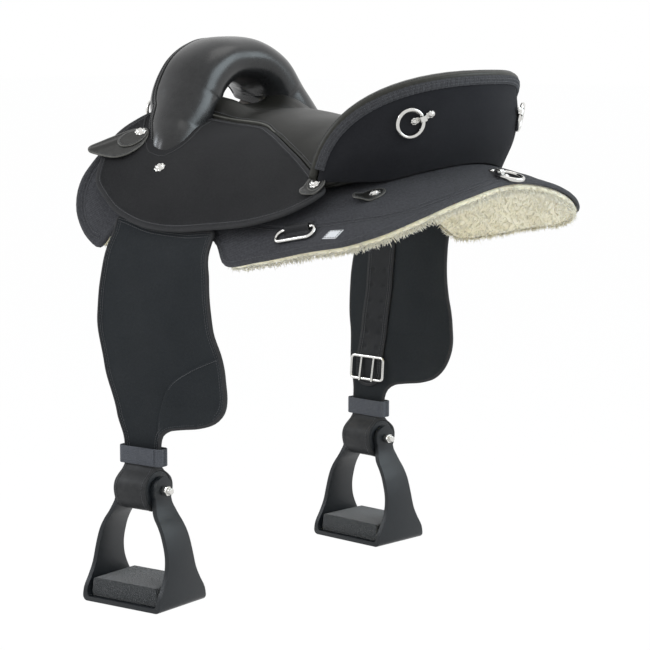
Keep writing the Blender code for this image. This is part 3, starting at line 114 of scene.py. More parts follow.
def mixColour(tree, share, first, second):
    mix = tree.nodes.new("ShaderNodeMix")
    mix.data_type = "RGBA"
    for place, value in ((0, share), (6, first), (7, second)):
        feed(tree, mix.inputs[place], value)
    return mix.outputs[2]


def mixShaders(tree, share, first, second):
    mix = tree.nodes.new("ShaderNodeMixShader")
    for socket, value in zip(mix.inputs, (share, first.outputs[0], second.outputs[0])):
        feed(tree, socket, value)
    return mix.outputs[0]


def startMaterial(name, roughness, **sockets):
    made = bpy.data.materials.new(name)
    made.use_nodes = True
    shader = made.node_tree.nodes["Principled BSDF"]
    shader.inputs["Roughness"].default_value = roughness
    for key, value in sockets.items():
        feed(made.node_tree, shader.inputs[key], value)
    return made, made.node_tree, shader


def seesBackdrop(tree):
    # 1 for rays from the camera, a mirror or glass, 0 for light on the object
    path = tree.nodes.new("ShaderNodeLightPath").outputs
    seen = mathNode(tree, "MAXIMUM", path["Is Camera Ray"], path["Is Glossy Ray"])
    return mathNode(tree, "MAXIMUM", seen, path["Is Transmission Ray"])


# White surroundings and a floor that keeps the shadow.
worldLook = {"seen": 1.0, "ambient": 0.95, "white": (1.0, 1.0, 1.0), "tint": (0.96, 0.98, 1.0)}
world = bpy.data.worlds.new("paleStudio")
bpy.context.scene.world = world
world.use_nodes = True
skyTree = world.node_tree
skyTree.nodes.clear()
seenSky = newNode(skyTree, "Background", Color=worldLook["white"], Strength=worldLook["seen"])
litSky = newNode(skyTree, "Background", Color=worldLook["tint"], Strength=worldLook["ambient"])
newNode(skyTree, "OutputWorld", Surface=mixShaders(skyTree, seesBackdrop(skyTree), litSky, seenSky))

floorLook = {"height": -0.90, "width": 60.0, "whiteShare": 0.955, "colour": (0.94, 0.94, 0.94),
             "roughness": 0.9}
bpy.ops.object.select_all(action="DESELECT")
bpy.ops.mesh.primitive_plane_add(size=floorLook["width"], location=(0, 0, floorLook["height"]))
floor = bpy.context.object
floor.name = "paleFloor"
floorMaterial, floorTree, floorShader = startMaterial("palePaper", floorLook["roughness"],
                                                      **{"Base Color": floorLook["colour"]})
floorWhite = newNode(floorTree, "Emission", Strength=1.0)
floorShare = mathNode(floorTree, "MULTIPLY", seesBackdrop(floorTree), floorLook["whiteShare"])
feed(floorTree, floorTree.nodes["Material Output"].inputs["Surface"],
     mixShaders(floorTree, floorShare, floorShader, floorWhite))
floor.data.materials.append(floorMaterial)
print("camera, lamps and floor ready")


# Shared surface effects. Each gives only values, the materials hold the shaders.
def newGroup(name, inputs, outputs):
    group = bpy.data.node_groups.new(name, "ShaderNodeTree")
    group.interface.new_socket(name="Vector", in_out="INPUT", socket_type="NodeSocketVector")
    for key, value in inputs.items():
        socket = group.interface.new_socket(name=key, in_out="INPUT", socket_type="NodeSocketFloat")
        socket.default_value = value
    for key in outputs:
        group.interface.new_socket(name=key, in_out="OUTPUT", socket_type="NodeSocketFloat")
    return group, group.nodes.new("NodeGroupInput").outputs, group.nodes.new("NodeGroupOutput").inputs


def makeWeaveGroup():
    # plain weave of fat yarns: over and under crossings, with slubs; its Tone lightens yarn crowns and slubs as
    # painted glints, over a random tone
    group, given, out = newGroup("yarnWeave", {"Threads": 900.0, "Slub": 0.35}, ("Height", "Tone"))
    split = newNode(group, "SeparateXYZ", Vector=given["Vector"])
    waves = []
    for axis in ("X", "Y"):
        phase = mathNode(group, "MULTIPLY", split.outputs[axis], given["Threads"])
        waves.append(mathNode(group, "SINE", mathNode(group, "MULTIPLY", phase, math.pi)))
    crossing = mathNode(group, "MULTIPLY", *waves)
    knob = mathNode(group, "POWER", mathNode(group, "ABSOLUTE", crossing), 0.5)
    over = mathNode(group, "MULTIPLY", mathNode(group, "GREATER_THAN", crossing, 0.0), 0.3)
    slub = noiseNode(group, given["Vector"], 260.0, 5.0, 0.7)
    raised = mathNode(group, "MULTIPLY_ADD", mathNode(group, "SUBTRACT", slub, 0.5), given["Slub"], knob)
    feed(group, out["Height"], mathNode(group, "ADD", raised, over))
    broad = noiseNode(group, given["Vector"], 14.0, 3.0, 0.55)
    # yarn crowns lighter than the hollows, a painted glint, plus a broad random tone
    paintedCrownGlintAndTone = mathNode(group, "MULTIPLY_ADD", knob, 0.30, mathNode(group, "MULTIPLY", broad, 0.30))
    # slubs lighter still, a painted glint
    paintedSlubGlint = mathNode(group, "POWER", slub, 2.0)
    feed(group, out["Tone"], mathNode(group, "MULTIPLY_ADD", paintedSlubGlint, given["Slub"], paintedCrownGlintAndTone))
    return group


def makeGrainGroup():
    # leather: small cells, with a few soft creases
    group, given, out = newGroup("hideGrain", {"Cells": 700.0, "Creases": 0.4}, ("Height", "Tone"))
    cells = newNode(group, "TexVoronoi", Vector=given["Vector"], Scale=given["Cells"])
    cells.feature = "SMOOTH_F1"
    crease = noiseNode(group, given["Vector"], 26.0, 6.0, 0.62)
    fold = mathNode(group, "ABSOLUTE", mathNode(group, "SUBTRACT", crease, 0.5))
    line = mathNode(group, "SMOOTH_MIN", mathNode(group, "MULTIPLY", fold, 9.0), 1.0, 0.3)
    cell = mathNode(group, "SUBTRACT", 1.0, cells.outputs["Distance"])
    feed(group, out["Height"], mathNode(group, "MULTIPLY_ADD", line, given["Creases"], cell))
    broad = noiseNode(group, given["Vector"], 9.0, 4.0, 0.5)
    feed(group, out["Tone"], mathNode(group, "MULTIPLY_ADD", line, 0.35,
                                      mathNode(group, "MULTIPLY", broad, 0.65)))
    return group


def makeWearGroup():
    # rubbed edges and a little dust, from a distance to the edge in metres
    group, given, out = newGroup("rubbedEdge", {"Edge": 1.0, "Reach": 0.004}, ("Wear", "Dust"))
    near = mathNode(group, "SUBTRACT", 1.0, mathNode(group, "DIVIDE", given["Edge"], given["Reach"]))
    patchy = noiseNode(group, given["Vector"], 120.0, 5.0, 0.7)
    feed(group, out["Wear"], mathNode(group, "MULTIPLY", mathNode(group, "MAXIMUM", near, 0.0), patchy))
    dusty = noiseNode(group, given["Vector"], 5.0, 5.0, 0.6)
    feed(group, out["Dust"], mathNode(group, "MULTIPLY", dusty, dusty))
    return group


weaveGroup, grainGroup, wearGroup = makeWeaveGroup(), makeGrainGroup(), makeWearGroup()


def placeGroup(tree, group, vector, **values):
    node = tree.nodes.new("ShaderNodeGroup")
    node.node_tree = group
    for key, value in {"Vector": vector, **values}.items():
        feed(tree, node.inputs[key], value)
    return node.outputs


def addBump(tree, shader, height, distance):
    bump = newNode(tree, "Bump", Distance=distance, Height=height)
    feed(tree, shader.inputs["Normal"], bump.outputs["Normal"])


def edgeAttribute(tree):
    node = tree.nodes.new("ShaderNodeAttribute")
    node.attribute_name = "rim"
    return node.outputs["Fac"]


def coordinates(tree, kind):
    return tree.nodes.new("ShaderNodeTexCoord").outputs[kind]


def wovenMaterial(name, dark, light, worn, threads, relief, roughness=0.86, slub=0.9):
    made, tree, shader = startMaterial(name, roughness, **{
        "Sheen Weight": 0.03, "Sheen Roughness": 0.5, "Specular IOR Level": 0.14})
    vector = coordinates(tree, "UV")
    weave = placeGroup(tree, weaveGroup, vector, Threads=threads, Slub=slub)
    wear = placeGroup(tree, wearGroup, vector, Edge=edgeAttribute(tree), Reach=0.005)
    # the weave's tone, which carries painted glints on yarn crowns and slubs
    base = mixColour(tree, weave["Tone"], dark, light)
    base = mixColour(tree, mathNode(tree, "MULTIPLY", wear["Wear"], 0.5), base, worn)
    base = mixColour(tree, mathNode(tree, "MULTIPLY", wear["Dust"], 0.12), base, (0.20, 0.20, 0.20))
    feed(tree, shader.inputs["Base Color"], base)
    feed(tree, shader.inputs["Roughness"],
         mathNode(tree, "MULTIPLY_ADD", weave["Tone"], -0.12, roughness + 0.04))
    addBump(tree, shader, weave["Height"], relief)
    return made


def leatherMaterial(name, dark, light, worn, cells, relief, roughness, shine=0.3, creases=0.4, coat=0.0):
    made, tree, shader = startMaterial(name, roughness, **{
        "Coat Weight": coat, "Coat Roughness": 0.22, "Specular IOR Level": shine})
    vector = coordinates(tree, "Object")
    grain = placeGroup(tree, grainGroup, vector, Cells=cells, Creases=creases)
    wear = placeGroup(tree, wearGroup, vector, Edge=edgeAttribute(tree), Reach=0.004)
    base = mixColour(tree, grain["Tone"], dark, light)
    base = mixColour(tree, mathNode(tree, "MULTIPLY", wear["Wear"], 0.8), base, worn)
    feed(tree, shader.inputs["Base Color"], base)
    feed(tree, shader.inputs["Roughness"],
         mathNode(tree, "MULTIPLY_ADD", wear["Dust"], 0.25, roughness - 0.06))
    addBump(tree, shader, grain["Height"], relief)
    return made


def mouldedMaterial(name, dark, light, roughness, cells, relief):
    made, tree, shader = startMaterial(name, roughness, **{"Specular IOR Level": 0.32})
    vector = coordinates(tree, "Object")
    grain = placeGroup(tree, grainGroup, vector, Cells=cells, Creases=0.1)
    wear = placeGroup(tree, wearGroup, vector, Edge=1.0)
    feed(tree, shader.inputs["Base Color"], mixColour(tree, wear["Dust"], dark, light))
    feed(tree, shader.inputs["Roughness"],
         mathNode(tree, "MULTIPLY_ADD", wear["Dust"], 0.3, roughness - 0.05))
    addBump(tree, shader, grain["Height"], relief)
    return made


def metalMaterial(name, dark, light, roughness, relief):
    made, tree, shader = startMaterial(name, roughness, Metallic=1.0)
    vector = coordinates(tree, "Object")
    wear = placeGroup(tree, wearGroup, vector, Edge=1.0)
    scratches = noiseNode(tree, vector, 900.0, 6.0, 0.8)
    feed(tree, shader.inputs["Base Color"], mixColour(tree, wear["Dust"], light, dark))
    feed(tree, shader.inputs["Roughness"],
         mathNode(tree, "MULTIPLY_ADD", scratches, 0.12, roughness - 0.03))
    addBump(tree, shader, scratches, relief)
    return made


def foamMaterial(name, dark, light, relief):
    made, tree, shader = startMaterial(name, 0.9, **{
        "Sheen Weight": 0.55, "Sheen Roughness": 0.35, "Specular IOR Level": 0.25})
    vector = coordinates(tree, "Object")
    pores = newNode(tree, "TexVoronoi", Scale=620.0, Vector=vector)
    crumbs = noiseNode(tree, vector, 800.0, 4.0, 0.7)
    height = mathNode(tree, "MULTIPLY_ADD", crumbs, 0.6, pores.outputs["Distance"])
    feed(tree, shader.inputs["Base Color"], mixColour(tree, height, dark, light))
    addBump(tree, shader, height, relief)
    return made


def woolMaterial(name, shade, cream, pale, relief):
    made, tree, shader = startMaterial(name, 0.95, **{
        "Sheen Weight": 0.8, "Sheen Roughness": 0.6, "Specular IOR Level": 0.1,
        "Subsurface Weight": 0.4, "Subsurface Scale": 0.006, "Subsurface Radius": (1.0, 0.85, 0.6)})
    vector = coordinates(tree, "Object")
    clumps = noiseNode(tree, vector, 60.0, 5.0, 0.7)
    fibre = noiseNode(tree, vector, 900.0, 3.0, 0.8)
    base = mixColour(tree, clumps, shade, cream)
    base = mixColour(tree, mathNode(tree, "MULTIPLY", fibre, 0.5), base, pale)
    feed(tree, shader.inputs["Base Color"], base)
    addBump(tree, shader, mathNode(tree, "MULTIPLY_ADD", clumps, 2.0, fibre), relief)
    return made


def threadMaterial(name, dark, light, relief):
    made, tree, shader = startMaterial(name, 0.6, **{"Sheen Weight": 0.3})
    twist = noiseNode(tree, coordinates(tree, "Object"), 1500.0, 2.0, 0.6)
    feed(tree, shader.inputs["Base Color"], mixColour(tree, twist, dark, light))
    addBump(tree, shader, twist, relief)
    return made


finishRows = {
    # dark, light and worn colour, threads a metre, relief in metres, roughness, slub; light also colours the
    # painted glints on yarn crowns and slubs
    "skirtWeave": (wovenMaterial, (0.004, 0.004, 0.005), (0.068, 0.069, 0.077), (0.080, 0.080, 0.082),
                   420.0, 0.00080, 0.86, 1.6),
    "jockeyWeave": (wovenMaterial, (0.004, 0.004, 0.0045), (0.020, 0.020, 0.0215), (0.060, 0.060, 0.060),
                    760.0, 0.00040),
    "fenderWeave": (wovenMaterial, (0.006, 0.0075, 0.009), (0.020, 0.024, 0.0275), (0.060, 0.062, 0.066),
                    760.0, 0.00040),
    "panelWeave": (wovenMaterial, (0.004, 0.004, 0.006), (0.012, 0.013, 0.017), (0.035, 0.035, 0.036),
                   760.0, 0.00035),
    "webbingWeave": (wovenMaterial, (0.034, 0.038, 0.046), (0.090, 0.098, 0.115), (0.15, 0.15, 0.16),
                     420.0, 0.00070),
    "edgeTape": (wovenMaterial, (0.010, 0.010, 0.011), (0.030, 0.030, 0.032), (0.070, 0.070, 0.070),
                 1100.0, 0.00025, 0.7),
    "whiteTape": (wovenMaterial, (0.66, 0.67, 0.69), (0.84, 0.85, 0.86), (0.55, 0.55, 0.53),
                  2200.0, 0.0001, 0.7),
    # dark, light and worn colour, cells a metre, relief, roughness, shine, creases, coat
    "seatLeather": (leatherMaterial, (0.006, 0.006, 0.005), (0.016, 0.016, 0.013), (0.060, 0.059, 0.050),
                    900.0, 0.00010, 0.42, 0.20),
    # pale leather for the cord along the seat's front edge: a painted highlight, far lighter than the seat
    "hemLeather": (leatherMaterial, (0.05, 0.05, 0.045), (0.12, 0.12, 0.105), (0.16, 0.16, 0.14),
                   900.0, 0.00010, 0.45, 0.25),
    "pommelLeather": (leatherMaterial, (0.0025, 0.0026, 0.0032), (0.006, 0.0068, 0.0078), (0.03, 0.03, 0.03),
                      1000.0, 0.00005, 0.26, 0.42, 0.25),
    "strapLeather": (leatherMaterial, (0.005, 0.0055, 0.0065), (0.013, 0.014, 0.016), (0.05, 0.05, 0.05),
                     900.0, 0.00018, 0.50, 0.2),
    "tabLeather": (leatherMaterial, (0.010, 0.010, 0.009), (0.030, 0.030, 0.027), (0.22, 0.215, 0.195),
                   800.0, 0.00018, 0.34, 0.3, 0.7, 0.15),
    # dark and light colour, roughness, then cells and relief or relief alone
    "stirrupPlastic": (mouldedMaterial, (0.007, 0.009, 0.011), (0.020, 0.0235, 0.027), 0.30, 1500.0, 0.00022),
    "treePolymer": (mouldedMaterial, (0.07, 0.06, 0.05), (0.12, 0.10, 0.09), 0.6, 900.0, 0.0002),
    "nickel": (metalMaterial, (0.42, 0.42, 0.41), (0.78, 0.77, 0.74), 0.16, 0.00004),
    # colours, relief
    "padFoam": (foamMaterial, (0.004, 0.005, 0.0055), (0.032, 0.035, 0.037), 0.0013),
    "wool": (woolMaterial, (0.80, 0.69, 0.42), (0.90, 0.82, 0.56), (0.95, 0.91, 0.74), 0.0005),
    "darkThread": (threadMaterial, (0.018, 0.019, 0.022), (0.052, 0.054, 0.060), 0.0001),
}
finishes = {name: make(name, *values) for name, (make, *values) in finishRows.items()}
print("materials ready")


# Vectors, lines and loops.
def unit(rows):
    return rows / np.maximum(np.linalg.norm(rows, axis=-1, keepdims=True), 1e-12)


def smooth(t):
    t = np.clip(t, 0.0, 1.0)
    return t * t * (3 - 2 * t)


def ridge(distance, wide):
    return np.exp(-(distance / wide) ** 2)


def runLengths(points):
    return np.concatenate(([0.0], np.cumsum(np.linalg.norm(np.diff(points, axis=0), axis=1))))


def closedUp(loop):
    return np.concatenate((loop, loop[:1]))


def catmullRom(p0, p1, p2, p3, steps):
    # points from p1 up to, but not at, p2
    return [0.5 * (2 * p1 + (p2 - p0) * t + (2 * p0 - 5 * p1 + 4 * p2 - p3) * t * t
                   + (3 * p1 - p0 - 3 * p2 + p3) * t ** 3) for t in (k / steps for k in range(steps))]


def loopThrough(points, spacing):
    # closed smooth curve, with a corner where a point ends in "c"
    count, out = len(points), []
    for i in range(count):
        p0, p1 = Vector(points[i - 1][:2]), Vector(points[i][:2])
        p2, p3 = Vector(points[(i + 1) % count][:2]), Vector(points[(i + 2) % count][:2])
        t1 = (p2 - p1) if len(points[i]) > 2 else (p2 - p0) / 2
        t2 = (p2 - p1) if len(points[(i + 1) % count]) > 2 else (p3 - p1) / 2
        chord = (p2 - p1).length
        t1 = t1 * min(1.0, chord / t1.length)
        t2 = t2 * min(1.0, chord / t2.length)
        steps = max(1, round(chord / spacing))
        for k in range(steps):
            t = k / steps
            out.append(p1 * (2 * t ** 3 - 3 * t ** 2 + 1) + t1 * (t ** 3 - 2 * t ** 2 + t)
                       + p2 * (3 * t ** 2 - 2 * t ** 3) + t2 * (t ** 3 - t ** 2))
    return np.array([tuple(p) for p in out])


def lineThrough(points, spacing):
    # open smooth line through points
    pts = [np.array(p, float) for p in points]
    pts = [2 * pts[0] - pts[1]] + pts + [2 * pts[-1] - pts[-2]]
    out = []
    for p0, p1, p2, p3 in zip(pts, pts[1:], pts[2:], pts[3:]):
        out += catmullRom(p0, p1, p2, p3, max(1, round(float(np.linalg.norm(p2 - p1)) / spacing)))
    return np.array(out + [pts[-2]])


def signedArea(loop):
    ahead = np.roll(loop, -1, 0)
    return float(np.sum(loop[:, 0] * ahead[:, 1] - ahead[:, 0] * loop[:, 1]) / 2)


def anticlockwise(loop):
    return loop if signedArea(loop) > 0 else loop[::-1]


def leftOf(run):
    return np.stack((-run[:, 1], run[:, 0]), 1)


def insetLoop(loop, distance):
    run = unit(unit(loop - np.roll(loop, 1, 0)) + unit(np.roll(loop, -1, 0) - loop))
    return loop + leftOf(run) * distance


def offsetLine(line, distance):
    return line + leftOf(unit(np.gradient(line, axis=0))) * distance


def distanceTo(points, line, closed):
    best = np.full(len(points), 1e9)
    for p, q in zip(line, np.roll(line, -1, 0) if closed else line[1:]):
        run = q - p
        t = np.clip(((points - p) @ run) / max(float(run @ run), 1e-14), 0, 1)
        best = np.minimum(best, np.linalg.norm(points - p - t[:, None] * run, axis=1))
    return best


def insideLoop(points, loop):
    hit = np.zeros(len(points), bool)
    for p, q in zip(loop, np.roll(loop, 1, 0)):
        crosses = (p[1] > points[:, 1]) != (q[1] > points[:, 1])
        if crosses.any():
            edge = (q[0] - p[0]) * (points[:, 1] - p[1]) / (q[1] - p[1] + 1e-15) + p[0]
            hit ^= crosses & (points[:, 0] < edge)
    return hit


def alongRows(x, rows):
    # the second column at x, eased between the rows
    xs, vs = np.array([r[0] for r in rows]), np.array([r[1] for r in rows])
    x = np.asarray(x, float)
    i = np.clip(np.searchsorted(xs, x, side="left") - 1, 0, len(xs) - 2)
    return vs[i] + (vs[i + 1] - vs[i]) * smooth((x - xs[i]) / (xs[i + 1] - xs[i]))


def bothSides(half):
    return list(half) + [(p[0], -p[1], *p[2:]) for p in reversed(half)]


def mirrored(outline, side):
    return [(p[0], p[1] * side, *p[2:]) for p in outline]


def lineFrames(points, up):
    # tangent and two square axes along a line, with the last as near to up as it can be
    run = unit(np.gradient(np.asarray(points, float), axis=0))
    out = unit(up - run * np.sum(up * run, 1, keepdims=True))
    return run, np.cross(run, out), out


# The drape that the skirt and all above it follow: x along the saddle, s round the barrel.
drapeShape = {
    # place, height, slope in degrees, and how late the slope builds up
    "stations": ((-0.280, 0.092, 68.0, 1.75), (-0.145, 0.068, 60.0, 1.15), (-0.015, 0.054, 60.0, 1.20),
                 (0.100, 0.034, 47.0, 0.87), (0.250, 0.017, 37.0, 0.85), (0.335, -0.003, 33.0, 0.85)),
    "slopeAt": 0.300, "steps": 20, "deck": 0.016, "skirt": 0.006, "fleece": 0.0115, "jockey": 0.0045,
    "gap": 0.0003, "sink": 0.002,
}
deck, gap, sink = drapeShape["deck"], drapeShape["gap"], drapeShape["sink"]
stationTable = np.array(drapeShape["stations"])
leftRight = (("right", 1), ("left", -1))


def stationValue(x, column):
    xs, vs = stationTable[:, 0], stationTable[:, column]
    x = np.asarray(x, float)
    i = np.clip(np.searchsorted(xs, x, side="left") - 1, 0, len(xs) - 2)
    slopes = np.diff(vs) / np.diff(xs)
    inner = (vs[2:] - vs[:-2]) / (xs[2:] - xs[:-2])
    m = np.concatenate((slopes[:1], inner, slopes[-1:]))
    span = xs[i + 1] - xs[i]
    t = (x - xs[i]) / span
    v0, v1 = vs[i], vs[i + 1]
    t2, t3 = t * t, t * t * t
    curve = ((2 * t3 - 3 * t2 + 1) * v0 + (t3 - 2 * t2 + t) * span * m[i]
             + (3 * t2 - 2 * t3) * v1 + (t3 - t2) * span * m[i + 1])
    return np.where((t < 0) | (t > 1), v0 + t * (v1 - v0), curve)


def drapePoint(x, s, off=0.0):
    x, s, off = np.broadcast_arrays(np.asarray(x, float), np.asarray(s, float), np.asarray(off, float))
    arc, end, late = np.abs(s), np.radians(stationValue(x, 2)), stationValue(x, 3)
    step = arc / drapeShape["steps"]
    y, z = np.zeros(x.shape), stationValue(x, 1) * 1.0
    for i in range(drapeShape["steps"]):
        angle = end * ((i + 0.5) * step / drapeShape["slopeAt"]) ** late
        y = y + np.cos(angle) * step
        z = z - np.sin(angle) * step
    angle = end * (arc / drapeShape["slopeAt"]) ** late
    y = y + off * np.sin(angle)
    z = z + off * np.cos(angle)
    return np.stack((x, np.where(s >= 0, y, -y), z), -1)


def drapeTop(base):
    return lambda u, v, extra: drapePoint(u, v, base + extra)


def drapeWhere(test, x, low=0.0, high=0.42, rounds=24):
    # bisects s for each x; test says that s is still short of the place
    x = np.asarray(x, float)
    low, high = np.full(x.shape, low), np.full(x.shape, high)
    for _ in range(rounds):
        mid = (low + high) / 2
        short = test(mid)
        low, high = np.where(short, mid, low), np.where(short, high, mid)
    return low


def drapeAtY(x, y, off=0.0):
    x, y = np.asarray(x, float), np.asarray(y, float)
    s = drapeWhere(lambda mid: drapePoint(x, mid, off)[..., 1] < np.abs(y), x)
    return drapePoint(x, np.where(y < 0, -s, s), off)


def drapeFrame(place, side, off=0.0, probe=0.004):
    # matrix with its Z square to the drape and its X running back along the saddle
    x, s = place[0], side * place[1]
    along = Vector(drapePoint(x + probe, s, off) - drapePoint(x - probe, s, off)).normalized()
    across = Vector(drapePoint(x, s + probe, off) - drapePoint(x, s - probe, off)).normalized()
    out = along.cross(across).normalized()
    return axesMatrix(along, out.cross(along), out, Vector(drapePoint(x, s, off)))


def turned(matrix, dx, dy):
    return matrix @ Matrix.Rotation(math.atan2(dy, dx), 4, "Z")


def drapeOff(points):
    # s and height over the drape of points near it
    s = np.linspace(0.0, 0.40, 161)
    off, at = np.zeros(len(points)), np.zeros(len(points))
    share = 2000
    for start in range(0, len(points), share):
        some = points[start:start + share]
        curve = drapePoint(some[:, :1] * np.ones((1, len(s))), s[None] * np.ones((len(some), 1)))
        dy, dz = np.abs(some[:, 1:2]) - curve[..., 1], some[:, 2:3] - curve[..., 2]
        best = np.argmin(dy * dy + dz * dz, 1)
        each = np.arange(len(some))
        late = stationValue(some[:, 0], 3)
        angle = np.radians(stationValue(some[:, 0], 2)) * (s[best] / drapeShape["slopeAt"]) ** late
        off[start:start + share] = dy[each, best] * np.sin(angle) + dz[each, best] * np.cos(angle)
        at[start:start + share] = s[best]
    return at, off


# Meshes and modifiers.
def onlyThis(obj):
    if bpy.context.object and bpy.context.object.mode != "OBJECT":
        bpy.ops.object.mode_set(mode="OBJECT")
    bpy.ops.object.select_all(action="DESELECT")
    obj.select_set(True)
    bpy.context.view_layer.objects.active = obj


def primitive(add, name, **values):
    # one of Blender's own shapes, with its place and turn in the mesh
    bpy.ops.object.select_all(action="DESELECT")
    add(**values)
    obj = bpy.context.object
    obj.name = name
    bpy.ops.object.transform_apply(location=True, rotation=True, scale=True)
    return obj


def vertexPlaces(obj):
    return np.array([tuple(v.co) for v in obj.data.vertices])


def finishModifier(obj, kind, **values):
    onlyThis(obj)
    modifier = obj.modifiers.new(kind.title(), kind)
    for key, value in values.items():
        setattr(modifier, key, value)
    bpy.ops.object.modifier_apply(modifier=modifier.name)


def bevelEdges(obj, width, segments, degrees):
    finishModifier(obj, "BEVEL", width=width, segments=segments, limit_method="ANGLE",
                   angle_limit=math.radians(degrees))


def smoothByAngle(obj, degrees):
    onlyThis(obj)
    bpy.ops.object.shade_smooth_by_angle(angle=math.radians(degrees))


def newPiece(name, verts, faces, finish):
    mesh = bpy.data.meshes.new(name)
    mesh.from_pydata(verts.tolist(), [], faces)
    mesh.materials.append(finishes[finish])
    mesh.polygons.foreach_set("use_smooth", [True] * len(mesh.polygons))
    mesh.update()
    return linked(bpy.data.objects.new(name, mesh))


def storeValue(obj, name, values):
    attribute = obj.data.attributes.new(name, "FLOAT", "POINT")
    attribute.data.foreach_set("value", np.asarray(values, np.float32))


def storeUv(obj, uv):
    layer = obj.data.uv_layers.new(name="cut")
    index = np.zeros(len(obj.data.loops), np.int32)
    obj.data.loops.foreach_get("vertex_index", index)
    layer.data.foreach_set("uv", np.asarray(uv, np.float32)[index].ravel())


puffLook = {"frames": 14, "quality": 6, "mass": 0.2, "bending": 1.5, "pressure": 30.0}


def puffOut(obj, sewnDown, cap):
    # air-filled cloth, held where sewnDown is 1, and moved at most cap metres anywhere
    group = obj.vertex_groups.new(name="sewnDown")
    for index, weight in enumerate(sewnDown):
        group.add([index], float(weight), "REPLACE")
    before = vertexPlaces(obj)
    onlyThis(obj)
    cloth = obj.modifiers.new("Cloth", "CLOTH")
    cloth.settings.quality = puffLook["quality"]
    cloth.settings.mass = puffLook["mass"]
    cloth.settings.bending_stiffness = puffLook["bending"]
    cloth.settings.use_pressure = True
    cloth.settings.uniform_pressure_force = puffLook["pressure"]
    cloth.settings.vertex_group_mass = "sewnDown"
    cloth.settings.effector_weights.gravity = 0.0
    cloth.point_cache.frame_start, cloth.point_cache.frame_end = 1, puffLook["frames"]
    for frameNumber in range(1, puffLook["frames"] + 1):
        bpy.context.scene.frame_set(frameNumber)
    bpy.ops.object.modifier_apply(modifier=cloth.name)
    bpy.context.scene.frame_set(1)
    move = np.nan_to_num(vertexPlaces(obj) - before)
    reach = np.linalg.norm(move, axis=1, keepdims=True)
    after = before + move * np.minimum(1.0, cap / np.maximum(reach, 1e-9))
    obj.data.vertices.foreach_set("co", after.astype(np.float32).ravel())
    obj.vertex_groups.clear()
    obj.data.update()
    print("%s puffed, most %.1f mm" % (obj.name, float(np.minimum(reach, cap).max()) * 1000))


def settle(obj, body, slot=None, *nodes):
    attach(obj, body)
    if nodes:
        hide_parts(*nodes)
    return obj


def faceOutwards(obj):
    # closed shells only: turned right way out by the sign of the volume
    bm = bmesh.new()
    bm.from_mesh(obj.data)
    bmesh.ops.remove_doubles(bm, verts=bm.verts, dist=1e-7)
    bmesh.ops.recalc_face_normals(bm, faces=bm.faces)
    if bm.calc_volume(signed=True) < 0:
        bmesh.ops.reverse_faces(bm, faces=bm.faces)
    bm.to_mesh(obj.data)
    bm.free()


def ringQuads(first, second, count):
    # quads between two rings of count points, which start at these indices
    return [(first + k, first + (k + 1) % count, second + (k + 1) % count, second + k) for k in range(count)]


def tubeFaces(rows, sides, closed=False):
    # an open tube has a fan at each end, to the two points that come after its rings
    faces = []
    for i in range(rows if closed else rows - 1):
        faces += ringQuads(i * sides, (i + 1) % rows * sides, sides)
    if not closed:
        last = (rows - 1) * sides
        for k, m in ((k, (k + 1) % sides) for k in range(sides)):
            faces += [(rows * sides, m, k), (rows * sides + 1, last + k, last + m)]
    return faces


def ringTube(name, centres, axisA, axisB, halfA, halfB, finish, sides=16, power=2.0, closed=False):
    # tube of superellipse rings
    angles = 2 * math.pi * np.arange(sides) / sides
    c, s = np.cos(angles), np.sin(angles)
    shapeA = np.sign(c) * np.abs(c) ** (2 / power)
    shapeB = np.sign(s) * np.abs(s) ** (2 / power)
    halfA, halfB = np.broadcast_to(halfA, len(centres)), np.broadcast_to(halfB, len(centres))
    verts = (centres[:, None] + axisA[:, None] * (shapeA[None, :, None] * halfA[:, None, None])
             + axisB[:, None] * (shapeB[None, :, None] * halfB[:, None, None])).reshape(-1, 3)
    around = angles * float(np.mean(halfA) + np.mean(halfB)) / 2
    uv = np.stack((np.repeat(runLengths(centres), sides), np.tile(around, len(centres))), 1)
    if not closed:
        verts = np.concatenate((verts, centres[:1], centres[-1:]))
        uv = np.concatenate((uv, uv[:1], uv[-1:]))
    obj = newPiece(name, verts, tubeFaces(len(centres), sides, closed), finish)
    storeUv(obj, uv)
    faceOutwards(obj)
    return obj


def cordTube(name, points, radius, finish, sides, normals, sunk=0.0, closed=False):
    run, side, out = lineFrames(points, normals)
    return ringTube(name, points - out * sunk, side, out, radius, radius, finish, sides, 2.0, closed)


def noRelief(u, v, rim, seam=None):
    return np.zeros(np.shape(u))


